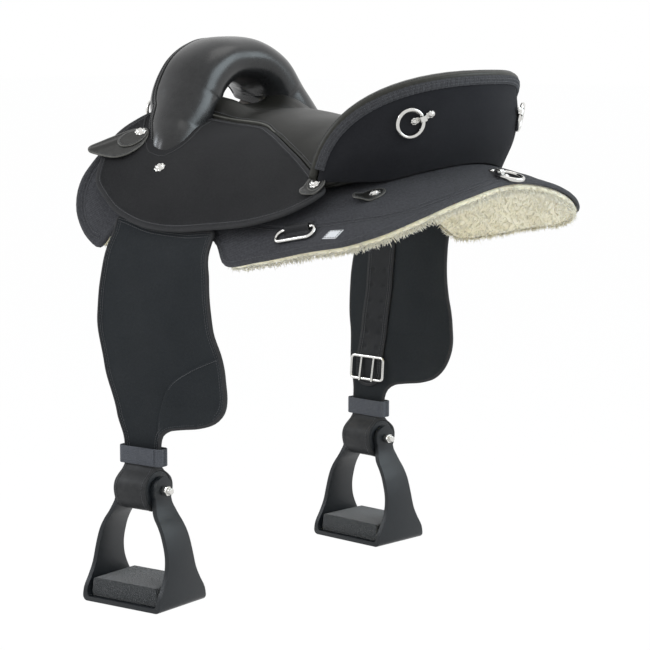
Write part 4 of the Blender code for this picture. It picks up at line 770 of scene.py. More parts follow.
def sheetPiece(name, outline, top, low, finish, grid, edge, bound=0.0, lines=(), relief=noRelief,
               underRelief=noRelief, boundFinish=None):
    # closed sheet cut to outline; top(u, v, extra) and low(u, v, extra) place it in space
    outline = anticlockwise(outline)
    rim = insetLoop(outline, edge)
    fixed = [rim]
    if bound:
        fixed += [insetLoop(outline, bound + d) for d in (-0.0004, 0.0004)]
    for line in lines:
        for d in (-0.0024, -0.0011, 0.0, 0.0011, 0.0024):
            row = offsetLine(line, d)
            fixed.append(row[insideLoop(row, rim) & (distanceTo(row, rim, True) > 0.0015)])
    held = np.concatenate(fixed)
    tree = kdtree.KDTree(len(held))
    for i, p in enumerate(held):
        tree.insert((p[0], p[1], 0.0), i)
    tree.balance()
    low0, high0, rowStep = rim.min(0), rim.max(0), grid * 0.87
    rows = int((high0[1] - low0[1]) / rowStep) + 2
    columns = int((high0[0] - low0[0]) / grid) + 2
    r, c = np.mgrid[0:rows, 0:columns]
    cloud = np.stack((low0[0] + (c + 0.5 * (r % 2)) * grid, low0[1] + r * grid * 0.87), -1).reshape(-1, 2)
    cloud = cloud[insideLoop(cloud, rim)]
    spaced = [p for p in cloud if tree.find((p[0], p[1], 0.0))[2] > grid * 0.6]
    points = np.concatenate((held, np.array(spaced))) if spaced else held
    count = len(rim)
    edges = [(i, (i + 1) % count) for i in range(count)]
    flat, _, faces, _, _, _ = delaunay_2d_cdt([Vector(p) for p in points], edges, [], 1, 1e-7)
    uv = np.array([tuple(p) for p in flat])
    rimAway, n = distanceTo(uv, outline, True), len(uv)
    seamAway = np.min([np.ones(n)] + [distanceTo(uv, line, False) for line in lines], 0)
    u, v = uv.T
    layers = [top(u, v, relief(u, v, rimAway, seamAway)), low(u, v, underRelief(u, v, rimAway))]
    layerUv, steps = [uv, uv], 5
    rimExtra = relief(rim[:, 0], rim[:, 1], np.full(count, edge), np.ones(count))
    for k in range(1, steps):  # the rounded edge
        angle = math.pi * k / steps
        ring = insetLoop(outline, edge - edge * math.sin(angle))
        upper, lower = top(ring[:, 0], ring[:, 1], rimExtra), low(ring[:, 0], ring[:, 1], np.zeros(count))
        layers.append(lower + (upper - lower) * (0.5 + 0.5 * math.cos(angle)))
        layerUv.append(ring)
    polys = [tuple(f) for f in faces] + [tuple(n + i for i in reversed(f)) for f in faces]
    chains = [0] + [2 * n + k * count for k in range(steps - 1)] + [n]
    for first, second in zip(chains, chains[1:]):
        polys += ringQuads(second, first, count)
    obj = newPiece(name, np.concatenate(layers), polys, finish)
    allUv, ringZero = np.concatenate(layerUv), np.zeros(count * (steps - 1))
    storeUv(obj, allUv)
    storeValue(obj, "rim", np.concatenate((rimAway, rimAway, ringZero)))
    storeValue(obj, "seam", np.concatenate((seamAway, np.ones(n), ringZero + 1)))
    if boundFinish:
        obj.data.materials.append(finishes[boundFinish])
        centre = np.array([np.mean(allUv[list(p.vertices)], 0) for p in obj.data.polygons])
        inBorder = (distanceTo(centre, outline, True) < bound) | ~insideLoop(centre, outline)
        obj.data.polygons.foreach_set("material_index", inBorder.astype(np.int32))
    faceOutwards(obj)
    return obj


# Stitches: one thread shape, copied along every sewn line of a body.
stitchLook = {"long": 0.0032, "pitch": 0.0042, "radius": 0.00042, "batch": 4000}
stitchMaster = primitive(bpy.ops.mesh.primitive_cylinder_add, "stitchMaster", vertices=6,
                         radius=stitchLook["radius"], depth=stitchLook["long"] * 0.7,
                         rotation=(0, math.radians(90), 0))
bpy.ops.object.mode_set(mode="EDIT")
bpy.ops.mesh.select_mode(type="FACE")
bpy.ops.mesh.select_all(action="DESELECT")
stitchMesh = bmesh.from_edit_mesh(stitchMaster.data)
for face in stitchMesh.faces:
    face.select_set(abs(face.normal.x) > 0.9)
bmesh.update_edit_mesh(stitchMaster.data)
bpy.ops.mesh.extrude_faces_move(TRANSFORM_OT_shrink_fatten={"value": stitchLook["long"] * 0.15})
bpy.ops.transform.resize(value=(1.0, 0.45, 0.45))
bpy.ops.object.mode_set(mode="OBJECT")
stitchVerts = vertexPlaces(stitchMaster)
stitchFaces = [tuple(p.vertices) for p in stitchMaster.data.polygons]
bpy.data.objects.remove(stitchMaster, do_unlink=True)
sewn = {}


def sewAlong(body, points, normals, lift=0.0001):
    # points along a line in space, with the surface's normals; a closed line repeats its start
    lengths = runLengths(points)
    count = int(lengths[-1] / stitchLook["pitch"])
    if not count:
        return
    at = (np.arange(count) + 0.5) * lengths[-1] / count

    def along(rows, places):
        return np.stack([np.interp(places, lengths, rows[:, k]) for k in range(3)], 1)

    run = unit(along(points, at + 0.0008) - along(points, at - 0.0008))
    out = along(normals, at)
    out = unit(out - run * np.sum(out * run, 1, keepdims=True))
    for c, r, s, o in zip(along(points, at) + out * lift, run, np.cross(out, run), out):
        sewn.setdefault(body, []).append(c + stitchVerts @ np.array((r, s, o)))


def surfaceLine(top, line, extra=0.0, sign=1.0, fine=0.002):
    # a line in flat measure carried onto the surface, with its normals
    dense = []
    for p, q in zip(line, line[1:]):
        steps = max(1, int(np.linalg.norm(q - p) / fine))
        dense += [p + (q - p) * k / steps for k in range(steps)]
    u, v = np.array(dense + [line[-1]]).T
    e, h = np.full(len(u), extra), 0.0008
    du, dv = top(u + h, v, e) - top(u - h, v, e), top(u, v + h, e) - top(u, v - h, e)
    return top(u, v, e), unit(np.cross(du, dv) * sign)


def sewSheet(body, top, line, extra=0.0, sign=1.0):
    sewAlong(body, *surfaceLine(top, line, extra, sign))


def sewRim(body, top, loop, inset, extra=0.0, sign=1.0):
    sewSheet(body, top, closedUp(insetLoop(anticlockwise(loop), inset)), extra, sign)


def cordOnSheet(name, top, line, radius, finish, extra, sunk):
    # a thin sewn-on cord on the upper side of a surface
    points, normals = surfaceLine(top, line, extra)
    return cordTube(name, points, radius, finish, 8, normals * np.sign(normals[:, 2:]), sunk)


# Skirt: woven cover and the rigging strip's double seam.
skirtShape = {
    "gulletHalf": 0.040, "gulletRear": 0.170, "tipHalf": 0.015, "tipLong": 0.02, "edge": 0.003,
    "bound": 0.0075, "grid": 0.0065,
    "half": ((-0.243, 0.040, "c"), (-0.251, 0.124), (-0.255, 0.184), (-0.262, 0.240), (-0.268, 0.288),
             (-0.262, 0.328), (-0.240, 0.354), (-0.207, 0.360), (-0.183, 0.325), (-0.150, 0.303),
             (-0.060, 0.301), (0.000, 0.306), (0.036, 0.334), (0.094, 0.317), (0.165, 0.297),
             (0.227, 0.283), (0.258, 0.264), (0.281, 0.237), (0.304, 0.183), (0.320, 0.104),
             (0.322, 0.040)),
    "strip": ((0.030, 0.268), (0.080, 0.262), (0.134, 0.253), (0.181, 0.243), (0.224, 0.230),
              (0.262, 0.211), (0.287, 0.172), (0.303, 0.121), (0.309, 0.063), (0.310, 0.0)),
    "frontSeam": ((-0.236, 0.062), (-0.241, 0.130), (-0.246, 0.190), (-0.252, 0.245), (-0.254, 0.290),
                  (-0.247, 0.322), (-0.228, 0.343), (-0.207, 0.345)),
    "puff": 0.0007, "boundHigh": 0.0006, "groove": 0.0009, "ripple": 0.00025,
    "stripRow": 0.0034, "frontRow": 0.003, "rimRow": 0.0059,
}
tipFrom = skirtShape["gulletRear"] - skirtShape["tipLong"]
slotTip = [(tipFrom, -skirtShape["gulletHalf"]), (skirtShape["gulletRear"], -skirtShape["tipHalf"]),
           (skirtShape["gulletRear"], skirtShape["tipHalf"]), (tipFrom, skirtShape["gulletHalf"])]
skirtLoop = anticlockwise(loopThrough(bothSides(skirtShape["half"]) + slotTip, 0.009))
skirtSeam = lineThrough(skirtShape["strip"] + tuple(mirrored(skirtShape["strip"][-2::-1], -1)), 0.006)
frontSeams = [lineThrough(mirrored(skirtShape["frontSeam"], side), 0.006) for side in (1, -1)]


def skirtRelief(u, v, rim, seam):
    puff = skirtShape["puff"] * smooth(seam / 0.016) * smooth(rim / 0.020)
    bound = skirtShape["boundHigh"] * smooth((skirtShape["bound"] + 0.0004 - rim) / 0.0008)
    groove = skirtShape["groove"] * ridge(seam, 0.0015)
    ripple = skirtShape["ripple"] * np.sin(u * 170 + 3 * np.sin(v * 60)) * smooth(seam / 0.02)
    return puff + bound - groove + ripple


skirtCover = sheetPiece("skirtCover", skirtLoop, drapeTop(0.0), drapeTop(-drapeShape["skirt"]), "skirtWeave",
                        skirtShape["grid"], skirtShape["edge"], skirtShape["bound"],
                        [skirtSeam] + frontSeams, skirtRelief)
settle(skirtCover, "saddle", "cordura", "skirt")
for side in (-1, 1):
    sewSheet("saddle", drapeTop(0.0004), offsetLine(skirtSeam, side * skirtShape["stripRow"]))
for line in frontSeams:
    for side in (1, -1):
        sewSheet("saddle", drapeTop(0.0004), offsetLine(line, side * skirtShape["frontRow"]))
sewRim("saddle", drapeTop(0.0007), skirtLoop, skirtShape["rimRow"])
print("skirt made")

# Fleece: a lumpy pile with locks all over it and a ragged edge.
fleeceShape = {
    "grid": 0.0060, "edge": 0.004, "inset": 0.0035, "lump": 0.0035, "thin": 0.0015, "seed": 7, "waves": 28,
    "locks": 26000, "rimLocks": 13000, "lockLong": 0.0055, "lockRadius": 0.0011, "innerInset": 0.006,
    "innerLong": 1.3, "innerRadius": 0.75, "innerSunk": 0.0016, "rimInset": 0.0050, "rimOut": -0.004,
    "levels": (0.0, 0.4, 0.75),
}
pileTop = -drapeShape["skirt"] - gap
pileFoot = pileTop - drapeShape["fleece"]
rng = np.random.default_rng(fleeceShape["seed"])
waveRows = [(rng.uniform(60, 420), rng.uniform(0, 2 * math.pi), rng.uniform(0, 2 * math.pi))
            for _ in range(fleeceShape["waves"])]


def lumps(u, v):
    total = np.zeros(np.shape(u))
    for pitch, heading, phase in waveRows:
        along = u * math.cos(heading) + v * math.sin(heading)
        total = total + np.sin(pitch * along + phase) / (1 + pitch / 200)
    return total / 7.0


def pileDrop(u, v, rim):
    return -fleeceShape["lump"] * (0.4 + np.clip(lumps(u, v), -1, 1) * 0.8) * smooth(rim / 0.012)


fleecePile = sheetPiece("fleecePile", insetLoop(skirtLoop, fleeceShape["inset"]), drapeTop(pileTop),
                        drapeTop(pileFoot + fleeceShape["thin"]), "wool", fleeceShape["grid"],
                        fleeceShape["edge"], underRelief=pileDrop)
settle(fleecePile, "saddle", "fleece", "fleece_lining")


def locksAt(name, u, v, drop, outward, long, thick):
    # each lock is a bent taper: rings of three points and a tip
    count = len(u)
    foot = drapePoint(u, v, drop)
    down = (drapePoint(u, v, drop - 0.001) - foot) / 0.001
    lean = rng.normal(0, 0.55, (count, 3)) + outward
    lean -= down * np.sum(lean * down, 1, keepdims=True) * 0.6
    curl = rng.normal(0, 0.5, (count, 3))
    size = long * rng.uniform(0.6, 1.25, (count, 1))
    radius = thick * rng.uniform(0.7, 1.3, (count, 1))
    side = unit(np.cross(down, rng.normal(0, 1, (count, 3))))
    other = np.cross(down, side)

    def lockCentre(t):
        return foot + (down * t * 0.75 + lean * t * t * 0.55 + curl * t ** 3 * 0.35) * size

    verts, rings = [], len(fleeceShape["levels"])
    for t in fleeceShape["levels"]:
        for k in range(3):
            angle = 2 * math.pi * k / 3 + 0.9 * t
            out = side * math.cos(angle) + other * math.sin(angle)
            verts.append(lockCentre(t) + out * radius * (1.0 - t) ** 0.6)
    verts.append(lockCentre(1.0))
    faces = []
    for ring in range(rings - 1):
        faces += ringQuads(ring * 3, ring * 3 + 3, 3)
    faces += [(rings * 3 - 3 + k, rings * 3 - 3 + (k + 1) % 3, rings * 3) for k in range(3)]
    polys = [tuple(i + len(verts) * n for i in f) for n in range(count) for f in faces]
    return settle(newPiece(name, np.stack(verts, 1).reshape(-1, 3), polys, "wool"), "saddle", "fleece")


def scatterInside(loop, count):
    cloud = rng.uniform(loop.min(0), loop.max(0), (int(count * 2.2), 2))
    return cloud[insideLoop(cloud, loop)][:count]


for sideName, side in leftRight:
    spots = scatterInside(insetLoop(skirtLoop, fleeceShape["innerInset"]), fleeceShape["locks"])
    u, v = spots[spots[:, 1] * side > 0].T
    drop = pileFoot + fleeceShape["thin"] + fleeceShape["innerSunk"] + pileDrop(u, v, np.full(len(u), 0.02))
    locksAt("fleeceLocks_" + sideName, u, v, drop, 0.0, fleeceShape["lockLong"] * fleeceShape["innerLong"],
            fleeceShape["lockRadius"] * fleeceShape["innerRadius"])
rimLine = closedUp(insetLoop(skirtLoop, fleeceShape["rimInset"]))
outLine = closedUp(insetLoop(skirtLoop, fleeceShape["rimOut"]))
rimLengths = runLengths(rimLine)
rimAt = np.sort(rng.uniform(0, rimLengths[-1], fleeceShape["rimLocks"]))
rimU, rimV, outU, outV = [np.interp(rimAt, rimLengths, column) for column in (*rimLine.T, *outLine.T)]
outwardDir = unit(drapePoint(outU, outV, pileFoot) - drapePoint(rimU, rimV, pileFoot))
rimDrop = rng.uniform(pileFoot - 0.001, -drapeShape["skirt"] - 0.0015, len(rimAt))
locksAt("fleeceEdge", rimU, rimV, rimDrop, outwardDir * 0.9, fleeceShape["lockLong"],
        fleeceShape["lockRadius"])
print("fleece made")

# Pommel: a padded arch on splayed feet.
pommelShape = {
    # centre, then half of the section along the saddle and across
    "half": ((-0.207, 0.000, 0.157, 0.054, 0.035), (-0.206, 0.040, 0.152, 0.054, 0.037),
             (-0.204, 0.074, 0.131, 0.054, 0.042), (-0.201, 0.094, 0.101, 0.054, 0.046),
             (-0.191, 0.109, 0.0755, 0.0485, 0.048), (-0.182, 0.132, 0.046, 0.042, 0.048),
             (-0.166, 0.154, 0.020, 0.035, 0.045), (-0.161, 0.168, -0.012, 0.024, 0.037)),
    "steps": 12, "sides": 96, "power": 2.2, "piping": 0.0016, "pipingSunk": 0.0004,
    "pipeAngles": (236.0, 246.0, 135.0), "seamAngle": 241.0, "seamDeep": 0.0012, "gather": 0.0011,
    "sag": 0.0006, "sewnFoot": 0.012, "puff": 0.0022,
    "footSeam": 0.0065, "footCord": 0.0012, "footLift": 0.0009, "footSunk": 0.0005,
}
pommelRows = np.array([(r[0], -r[1], *r[2:]) for r in reversed(pommelShape["half"][1:])]
                      + list(pommelShape["half"]))


def splineRows(rows, steps):
    out, last = [], len(rows) - 1
    for i in range(last):
        out += catmullRom(rows[max(i - 1, 0)], rows[i], rows[i + 1], rows[min(i + 2, last)], steps)
    return np.array(out + [rows[-1]])


archRows = splineRows(pommelRows, pommelShape["steps"])
archCentres = archRows[:, :3]
archRun = unit(np.gradient(archCentres, axis=0))
archAcross = unit(np.cross(archRun, np.array((1.0, 0.0, 0.0))))
archAlong = unit(np.cross(archAcross, archRun))


def archPoint(angles, grow=0.0):
    # rows x angles points on the arch, angle in radians round its section
    c, s, power = np.cos(angles), np.sin(angles), pommelShape["power"]
    a = np.sign(c) * np.abs(c) ** (2 / power) * (archRows[:, 3:4] + grow)
    b = np.sign(s) * np.abs(s) ** (2 / power) * (archRows[:, 4:5] + grow)
    return archCentres[:, None] + archAlong[:, None] * a[..., None] + archAcross[:, None] * b[..., None]


def seatOnDeck(points, lowest):
    at, off = drapeOff(points)
    down = drapePoint(points[:, 0], np.where(points[:, 1] < 0, -at, at), lowest)
    return np.where((off < lowest)[:, None], down, points)


sides, rowCount = pommelShape["sides"], len(archRows)
archAngles = 2 * math.pi * np.arange(sides) / sides
archVerts = archPoint(archAngles)
rowShare = np.linspace(-1, 1, rowCount)
foldZone = smooth((np.abs(rowShare) - 0.30) / 0.2) * smooth((0.85 - np.abs(rowShare)) / 0.2)
innerSide = np.clip(np.sin(archAngles), 0, 1) ** 2
gather = pommelShape["gather"] * np.sin(rowShare * 95)[:, None] * foldZone[:, None] * innerSide[None]
sag = pommelShape["sag"] * np.sin(rowShare * 21)[:, None] * (0.3 + innerSide[None])
pipeAway = np.array([np.abs(np.degrees(archAngles) - degrees) for degrees in pommelShape["pipeAngles"]])
seamGroove = pommelShape["seamDeep"] * ridge(pipeAway, 3.0).sum(0)
archVerts = archVerts + unit(archVerts - archCentres[:, None]) * (gather + sag - seamGroove[None])[..., None]
clearOfDeck = drapeOff(archVerts.reshape(-1, 3))[1].reshape(archVerts.shape[:2]) - deck - gap
for k in range(sides):  # each line along the arch is spread over what stands clear of the deck
    above = np.nonzero(clearOfDeck[:, k] > 0)[0]
    ends = []
    for first, step in ((above[0], -1), (above[-1], 1)):
        beyond = min(max(first + step, 0), rowCount - 1)
        fall = clearOfDeck[first, k] - clearOfDeck[beyond, k]
        ends.append(first + step * (clearOfDeck[first, k] / fall if fall > 0 else 0.0))
    wanted = np.linspace(*ends, rowCount)
    archVerts[:, k] = np.stack([np.interp(wanted, np.arange(rowCount), archVerts[:, k, axis])
                                for axis in range(3)], 1)
flatArch = np.concatenate((archVerts.reshape(-1, 3), seatOnDeck(archVerts[[0, -1]].mean(1), deck + gap)))
pommelCover = newPiece("pommelCover", flatArch, tubeFaces(rowCount, sides), "pommelLeather")
faceOutwards(pommelCover)
sewnPipes = np.concatenate((np.tile(smooth((9.0 - pipeAway.min(0)) / 6.0), rowCount), (1.0, 1.0)))
sewnFoot = smooth((deck + pommelShape["sewnFoot"] - drapeOff(flatArch)[1]) / 0.008)
puffOut(pommelCover, np.maximum(sewnPipes, sewnFoot), pommelShape["puff"])
settle(pommelCover, "saddle", "leather_pommel", "pommel_cover")


def archLine(degrees):
    # one line along the arch, above the jockeys, with its outward directions
    line = archPoint([math.radians(degrees)])[:, 0]
    out = unit(archPoint([math.radians(degrees)], 0.01)[:, 0] - line)
    keep = drapeOff(line)[1] > deck + drapeShape["jockey"]
    return line[keep], out[keep]


for number, degrees in enumerate(pommelShape["pipeAngles"]):
    line, out = archLine(degrees)
    piping = cordTube("pommelPiping_%d" % number, line, pommelShape["piping"], "pommelLeather", 10, out,
                      pommelShape["pipingSunk"])
    settle(piping, "saddle", "leather_pommel")
sewAlong("saddle", *archLine(pommelShape["seamAngle"]))
print("pommel made")

# Seat: formed leather that sweeps up to the cantle.
seatShape = {
    "side": ((-0.170, 0.094, "c"), (-0.100, 0.094), (-0.044, 0.0955), (-0.019, 0.106), (0.004, 0.116),
             (0.032, 0.129), (0.060, 0.141), (0.090, 0.157), (0.118, 0.174), (0.138, 0.190, "c")),
    "crown": ((-0.150, 0.005), (-0.110, 0.007), (-0.075, 0.012), (-0.020, 0.010), (0.040, 0.013),
              (0.090, 0.018), (0.150, 0.030), (0.260, 0.036)),
    "edgeThick": 0.0045, "edgeLift": 0.0035, "earAt": 0.064, "earWide": 0.026, "earHigh": 0.019,
    "rearRadius": 0.224, "rearHalf": 47.5, "rearSteps": 12, "spare": 0.014, "grid": 0.0055, "edge": 0.002,
    # the cord values place the pale cord along the seat's front edge, which is a painted highlight
    "hem": 0.0055, "hemHigh": 0.0009, "highlightCord": 0.0011, "highlightCordIn": 0.0012, "highlightCordSunk": 0.0004,
    "sweep": 0.105, "sweepPower": 1.3, "underRim": 0.014, "crownPower": 3.2,
    "wrinkle": 0.0005, "slack": 0.0006,
}
cantleShape = {
    "centre": 0.016, "lean": 0.22, "leanFrom": 0.070, "arcRadius": 0.245, "halfArc": 0.252, "top": 0.149,
    "foot": -0.004, "power": 2.6, "seating": 0.0012, "wall": 0.008, "wallClear": 0.0015, "panel": 0.010,
    "crown": 0.010, "puff": 0.0030, "grid": 0.0060, "edge": 0.0015, "ripple": 0.0005,
    "rimWide": 0.0135, "rimHigh": 0.0065, "rimSeam": 0.55,
    "bandWide": 0.0066, "bandHigh": 0.0021, "bandLift": 0.0008, "bandRow": 0.35, "puckerPitch": 0.0078,
    "puckerWide": 0.04, "puckerHigh": 0.34,
}
wallInner = seatShape["rearRadius"] + cantleShape["wallClear"]
panelInner = wallInner + cantleShape["wall"] + gap
panelOuter = panelInner + cantleShape["panel"]


def seatHalfWide(x):
    return np.interp(x, [p[0] for p in seatShape["side"]], [p[1] for p in seatShape["side"]])


def cantleTopAt(arc):
    share, power = np.minimum(1.0, np.abs(arc) / cantleShape["halfArc"]), cantleShape["power"]
    high = cantleShape["top"] - cantleShape["foot"]
    return cantleShape["foot"] + high * (1 - share ** power) ** (1 / power)


def seatHeight(x, s):
    across = np.minimum(1.0, np.abs(s) / seatHalfWide(x))
    edge = seatShape["edgeThick"] + seatShape["edgeLift"] * smooth((-0.010 - x) / 0.050)
    high = edge + (alongRows(x, seatShape["crown"]) - edge) * (1 - across ** seatShape["crownPower"])
    front = smooth((-0.085 - x) / 0.060)
    ear = front * seatShape["earHigh"] * ridge(np.abs(s) - seatShape["earAt"], seatShape["earWide"])
    return deck + high + ear * smooth((1 - across) / 0.12)


def cantleLean(height):
    return cantleShape["lean"] * (height - cantleShape["leanFrom"])


def keepOffCantle(points):
    middle = cantleShape["centre"] + cantleLean(points[:, 2])
    dx = points[:, 0] - middle
    reach, limit = np.hypot(dx, points[:, 1]), wallInner - 0.001
    scale = np.where((reach > limit) & (dx > 0), limit / np.maximum(reach, 1e-9), 1.0)
    return np.stack((middle + dx * scale, points[:, 1] * scale, points[:, 2]), 1)


def seatTopPlace(u, v, extra):
    here = drapePoint(u, v)
    dx = u - cantleShape["centre"]
    near = smooth(1 - (seatShape["rearRadius"] - np.hypot(dx, here[:, 1])) / seatShape["sweep"])
    arc = np.arctan2(here[:, 1], dx) * cantleShape["arcRadius"]
    top = seatHeight(u, v)
    short = cantleTopAt(arc) - seatShape["underRim"] - here[:, 2] - top
    high = drapePoint(u, v, top + extra)
    high[:, 2] += np.where(dx > 0, np.maximum(0.0, short) * near ** seatShape["sweepPower"], 0.0)
    return keepOffCantle(high)


def seatLowPlace(u, v, extra):
    return keepOffCantle(drapePoint(u, v, deck - sink + extra))


def seatOutline():
    radius, half = seatShape["rearRadius"] + seatShape["spare"], seatShape["rearHalf"]
    steps = seatShape["rearSteps"]
    angles = np.radians(-half + 2 * half * np.arange(steps + 1) / steps)
    x, y = cantleShape["centre"] + radius * np.cos(angles), radius * np.sin(angles)
    s = drapeWhere(lambda mid: drapePoint(x, mid, deck)[:, 1] < np.abs(y), x, 0.0, 0.40)
    rear = [(float(a), float(math.copysign(b, c)), "c") for a, b, c in zip(x, s, y)]
    return mirrored(seatShape["side"], -1) + rear + list(reversed(seatShape["side"]))


def seatRelief(u, v, rim, seam):
    side = np.minimum(seatHalfWide(u) - np.abs(v), 0.05)
    hem = seatShape["hemHigh"] * smooth((seatShape["hem"] - side) / 0.0015) * (side > -0.01) * (u < 0.135)
    wrinkle = seatShape["wrinkle"] * np.sin(v * 240 + 2.2 * np.sin(u * 34)) * ridge(u + 0.105, 0.03)
    slack = seatShape["slack"] * np.sin(u * 46 + 1.2) * np.cos(v * 31)
    return (hem + wrinkle + slack) * smooth(rim / 0.004)


seatEdge = lineThrough([p[:2] for p in seatShape["side"]], 0.006)
seatHems = [(seatEdge - (0.0, seatShape["hem"])) * (1.0, side) for _, side in leftRight]
seatLeather = sheetPiece("seatLeather", loopThrough(seatOutline(), 0.008), seatTopPlace, seatLowPlace,
                         "seatLeather", seatShape["grid"], seatShape["edge"], 0.0, seatHems, seatRelief)
settle(seatLeather, "saddle", "leather_seat", "seat")
for (sideName, side), line in zip(leftRight, seatHems):
    sewSheet("saddle", seatTopPlace, line[:-2], 0.0007)
    # a pale cord along the front half of the seat's edge stands in for a highlight there: a painted highlight
    edgeLine = line[2:len(line) // 2] + (0.0, side * (seatShape["hem"] - seatShape["highlightCordIn"]))
    hem = cordOnSheet("seatPaintedHighlight_" + sideName, seatTopPlace, edgeLine, seatShape["highlightCord"], "hemLeather",
                      0.0004, seatShape["highlightCordSunk"])
    settle(hem, "saddle", "leather_seat")
print("seat made")


# Cantle: padded back panel, puckered band and rolled rim.
def cantlePoint(arc, height, radius):
    arc, height, radius = np.broadcast_arrays(np.asarray(arc, float), height, radius)
    angle = arc / cantleShape["arcRadius"]
    return np.stack((cantleShape["centre"] + cantleLean(height) + radius * np.cos(angle),
                     radius * np.sin(angle), height * 1.0), -1)


def cantleFoot(arc, radius):
    angle, seated = arc / cantleShape["arcRadius"], -1.0
    for partRadius in (radius - cantleShape["panel"], radius):
        lean = cantleLean(seated) if seated > -1 else -0.010
        x = cantleShape["centre"] + lean + partRadius * math.cos(angle)
        seated = max(seated, float(drapeAtY(x, partRadius * math.sin(angle))[2]) + cantleShape["seating"])
    return max(seated, cantleShape["foot"] + 0.004)


def cantleOutline(inset, radius, steps=72, footSteps=24):
    top, power = [], cantleShape["power"]
    for k in range(steps + 1):
        c, s = math.cos(math.pi * k / steps), math.sin(math.pi * k / steps)
        a = math.copysign(abs(c) ** (2 / power), c) * (cantleShape["halfArc"] - inset)
        high = cantleShape["top"] - cantleShape["foot"] - inset
        h = cantleShape["foot"] + abs(s) ** (2 / power) * high
        if h > cantleFoot(a, radius) + 0.002:
            top.append((a, h))
    foot = [(a, cantleFoot(a, radius)) for a in np.linspace(top[-1][0], top[0][0], footSteps + 1)]
    return np.array(top), np.array(foot)


panelArch, panelFoot = cantleOutline(2 * cantleShape["rimHigh"] + gap, panelOuter)
panelLoop = np.concatenate((panelArch, panelFoot))


def panelTop(u, v, extra):
    swell = cantleShape["crown"] * smooth(distanceTo(np.stack((u, v), 1), panelLoop, True) / 0.05)
    return cantlePoint(u, v, panelOuter + swell + extra)


def panelLow(u, v, extra):
    return cantlePoint(u, v, panelInner + extra)


def panelRelief(u, v, rim, seam):
    return cantleShape["ripple"] * np.sin(u * 52) * np.cos(v * 60 + 1.0) * smooth(rim / 0.02)


backPanel = sheetPiece("backPanel", panelLoop, panelTop, panelLow, "panelWeave", cantleShape["grid"],
                       cantleShape["edge"], 0.0, (), panelRelief)
panelRim = np.zeros(len(backPanel.data.vertices))
backPanel.data.attributes["rim"].data.foreach_get("value", panelRim)
panelX, panelY, panelZ = vertexPlaces(backPanel).T
panelReach = np.hypot(panelX - cantleShape["centre"] - cantleLean(panelZ), panelY)
backFace = smooth((panelOuter - 0.001 - panelReach) / 0.002)
puffOut(backPanel, np.maximum(backFace, smooth((0.012 - panelRim) / 0.008)), cantleShape["puff"])
settle(backPanel, "saddle", "cordura_panel", "cantle_back_panel")
bandPoints, bandNormals = surfaceLine(panelTop, panelArch[1:-1], cantleShape["bandLift"])
_, bandSide, bandOut = lineFrames(bandPoints, bandNormals)
pucker = np.sin(2 * math.pi * runLengths(bandPoints) / cantleShape["puckerPitch"])
panelBand = ringTube("panelBand", bandPoints, bandSide, bandOut,
                     cantleShape["bandWide"] * (1 + cantleShape["puckerWide"] * pucker),
                     cantleShape["bandHigh"] * (1 + cantleShape["puckerHigh"] * pucker), "skirtWeave", 28, 2.4)
settle(panelBand, "saddle", "cordura_panel")
for side in (-1, 1):
    acrossBand = bandSide * cantleShape["bandWide"] * cantleShape["bandRow"] * side
    sewAlong("saddle", bandPoints + acrossBand + bandOut * cantleShape["bandHigh"] * 0.97, bandOut)

rimArch, _ = cantleOutline(cantleShape["rimHigh"], panelOuter, 110)
rimRadius = panelOuter - cantleShape["rimWide"] + 0.001
rimCentres = cantlePoint(rimArch[:, 0], rimArch[:, 1], rimRadius)
_, rimSide, rimOut = lineFrames(
    rimCentres, cantlePoint(rimArch[:, 0], rimArch[:, 1], rimRadius + 0.01) - rimCentres)
rimPucker = 1.0 + 0.012 * np.sin(np.arange(len(rimCentres)) * 1.9)
cantleRoll = ringTube("cantleRoll", rimCentres, rimOut, rimSide, cantleShape["rimWide"] * rimPucker,
                      cantleShape["rimHigh"] * rimPucker, "seatLeather", 40, 2.6)
settle(cantleRoll, "saddle", "leather_seat", "cantle_rim")
upward = rimSide * np.where(rimSide[:, 2:] > 0, 1.0, -1.0)
seamPoints = (rimCentres + rimOut * cantleShape["rimWide"] * cantleShape["rimSeam"]
              + upward * cantleShape["rimHigh"] * 0.93)
sewAlong("saddle", seamPoints[2:-2], upward[2:-2])
print("cantle made")

# Jockeys: woven side panels with a bound edge and a cord round the pommel's foot.
jockeyShape = {
    "lower": ((-0.230, 0.262), (-0.222, 0.280), (-0.200, 0.293), (-0.172, 0.304), (-0.111, 0.311),
              (-0.038, 0.307), (0.053, 0.283), (0.113, 0.252), (0.138, 0.228), (0.149, 0.207), (0.146, 0.193)),
    "front": ((-0.135, 0.095), (-0.218, 0.120), (-0.234, 0.170), (-0.238, 0.220)),
    "bound": 0.0095, "grid": 0.0060, "edge": 0.0022, "low": deck - 0.0006, "high": deck + drapeShape["jockey"],
    "seatClear": 0.0007, "seatClearRear": 0.0006, "roll": 0.0013, "puff": 0.0010, "ripple": 0.0004,
    "rimRow": 0.0077,
}
seatClears = [(p[0], p[1] + jockeyShape["seatClear"] + (jockeyShape["seatClearRear"] if p[0] > 0 else 0.0))
              for p in reversed(seatShape["side"][1:-1])]
jockeyOutline = list(jockeyShape["lower"]) + seatClears + list(jockeyShape["front"])
jockeyTop = drapeTop(jockeyShape["high"])


def jockeyRelief(u, v, rim, seam):
    rolled = smooth((jockeyShape["bound"] - rim) / 0.0012) * (1 - 0.5 * smooth(1 - rim / 0.004))
    puff = jockeyShape["puff"] * smooth((rim - 0.012) / 0.05)
    ripple = jockeyShape["ripple"] * np.sin(u * 60 + v * 35) * smooth(rim / 0.03)
    return jockeyShape["roll"] * rolled + puff + ripple


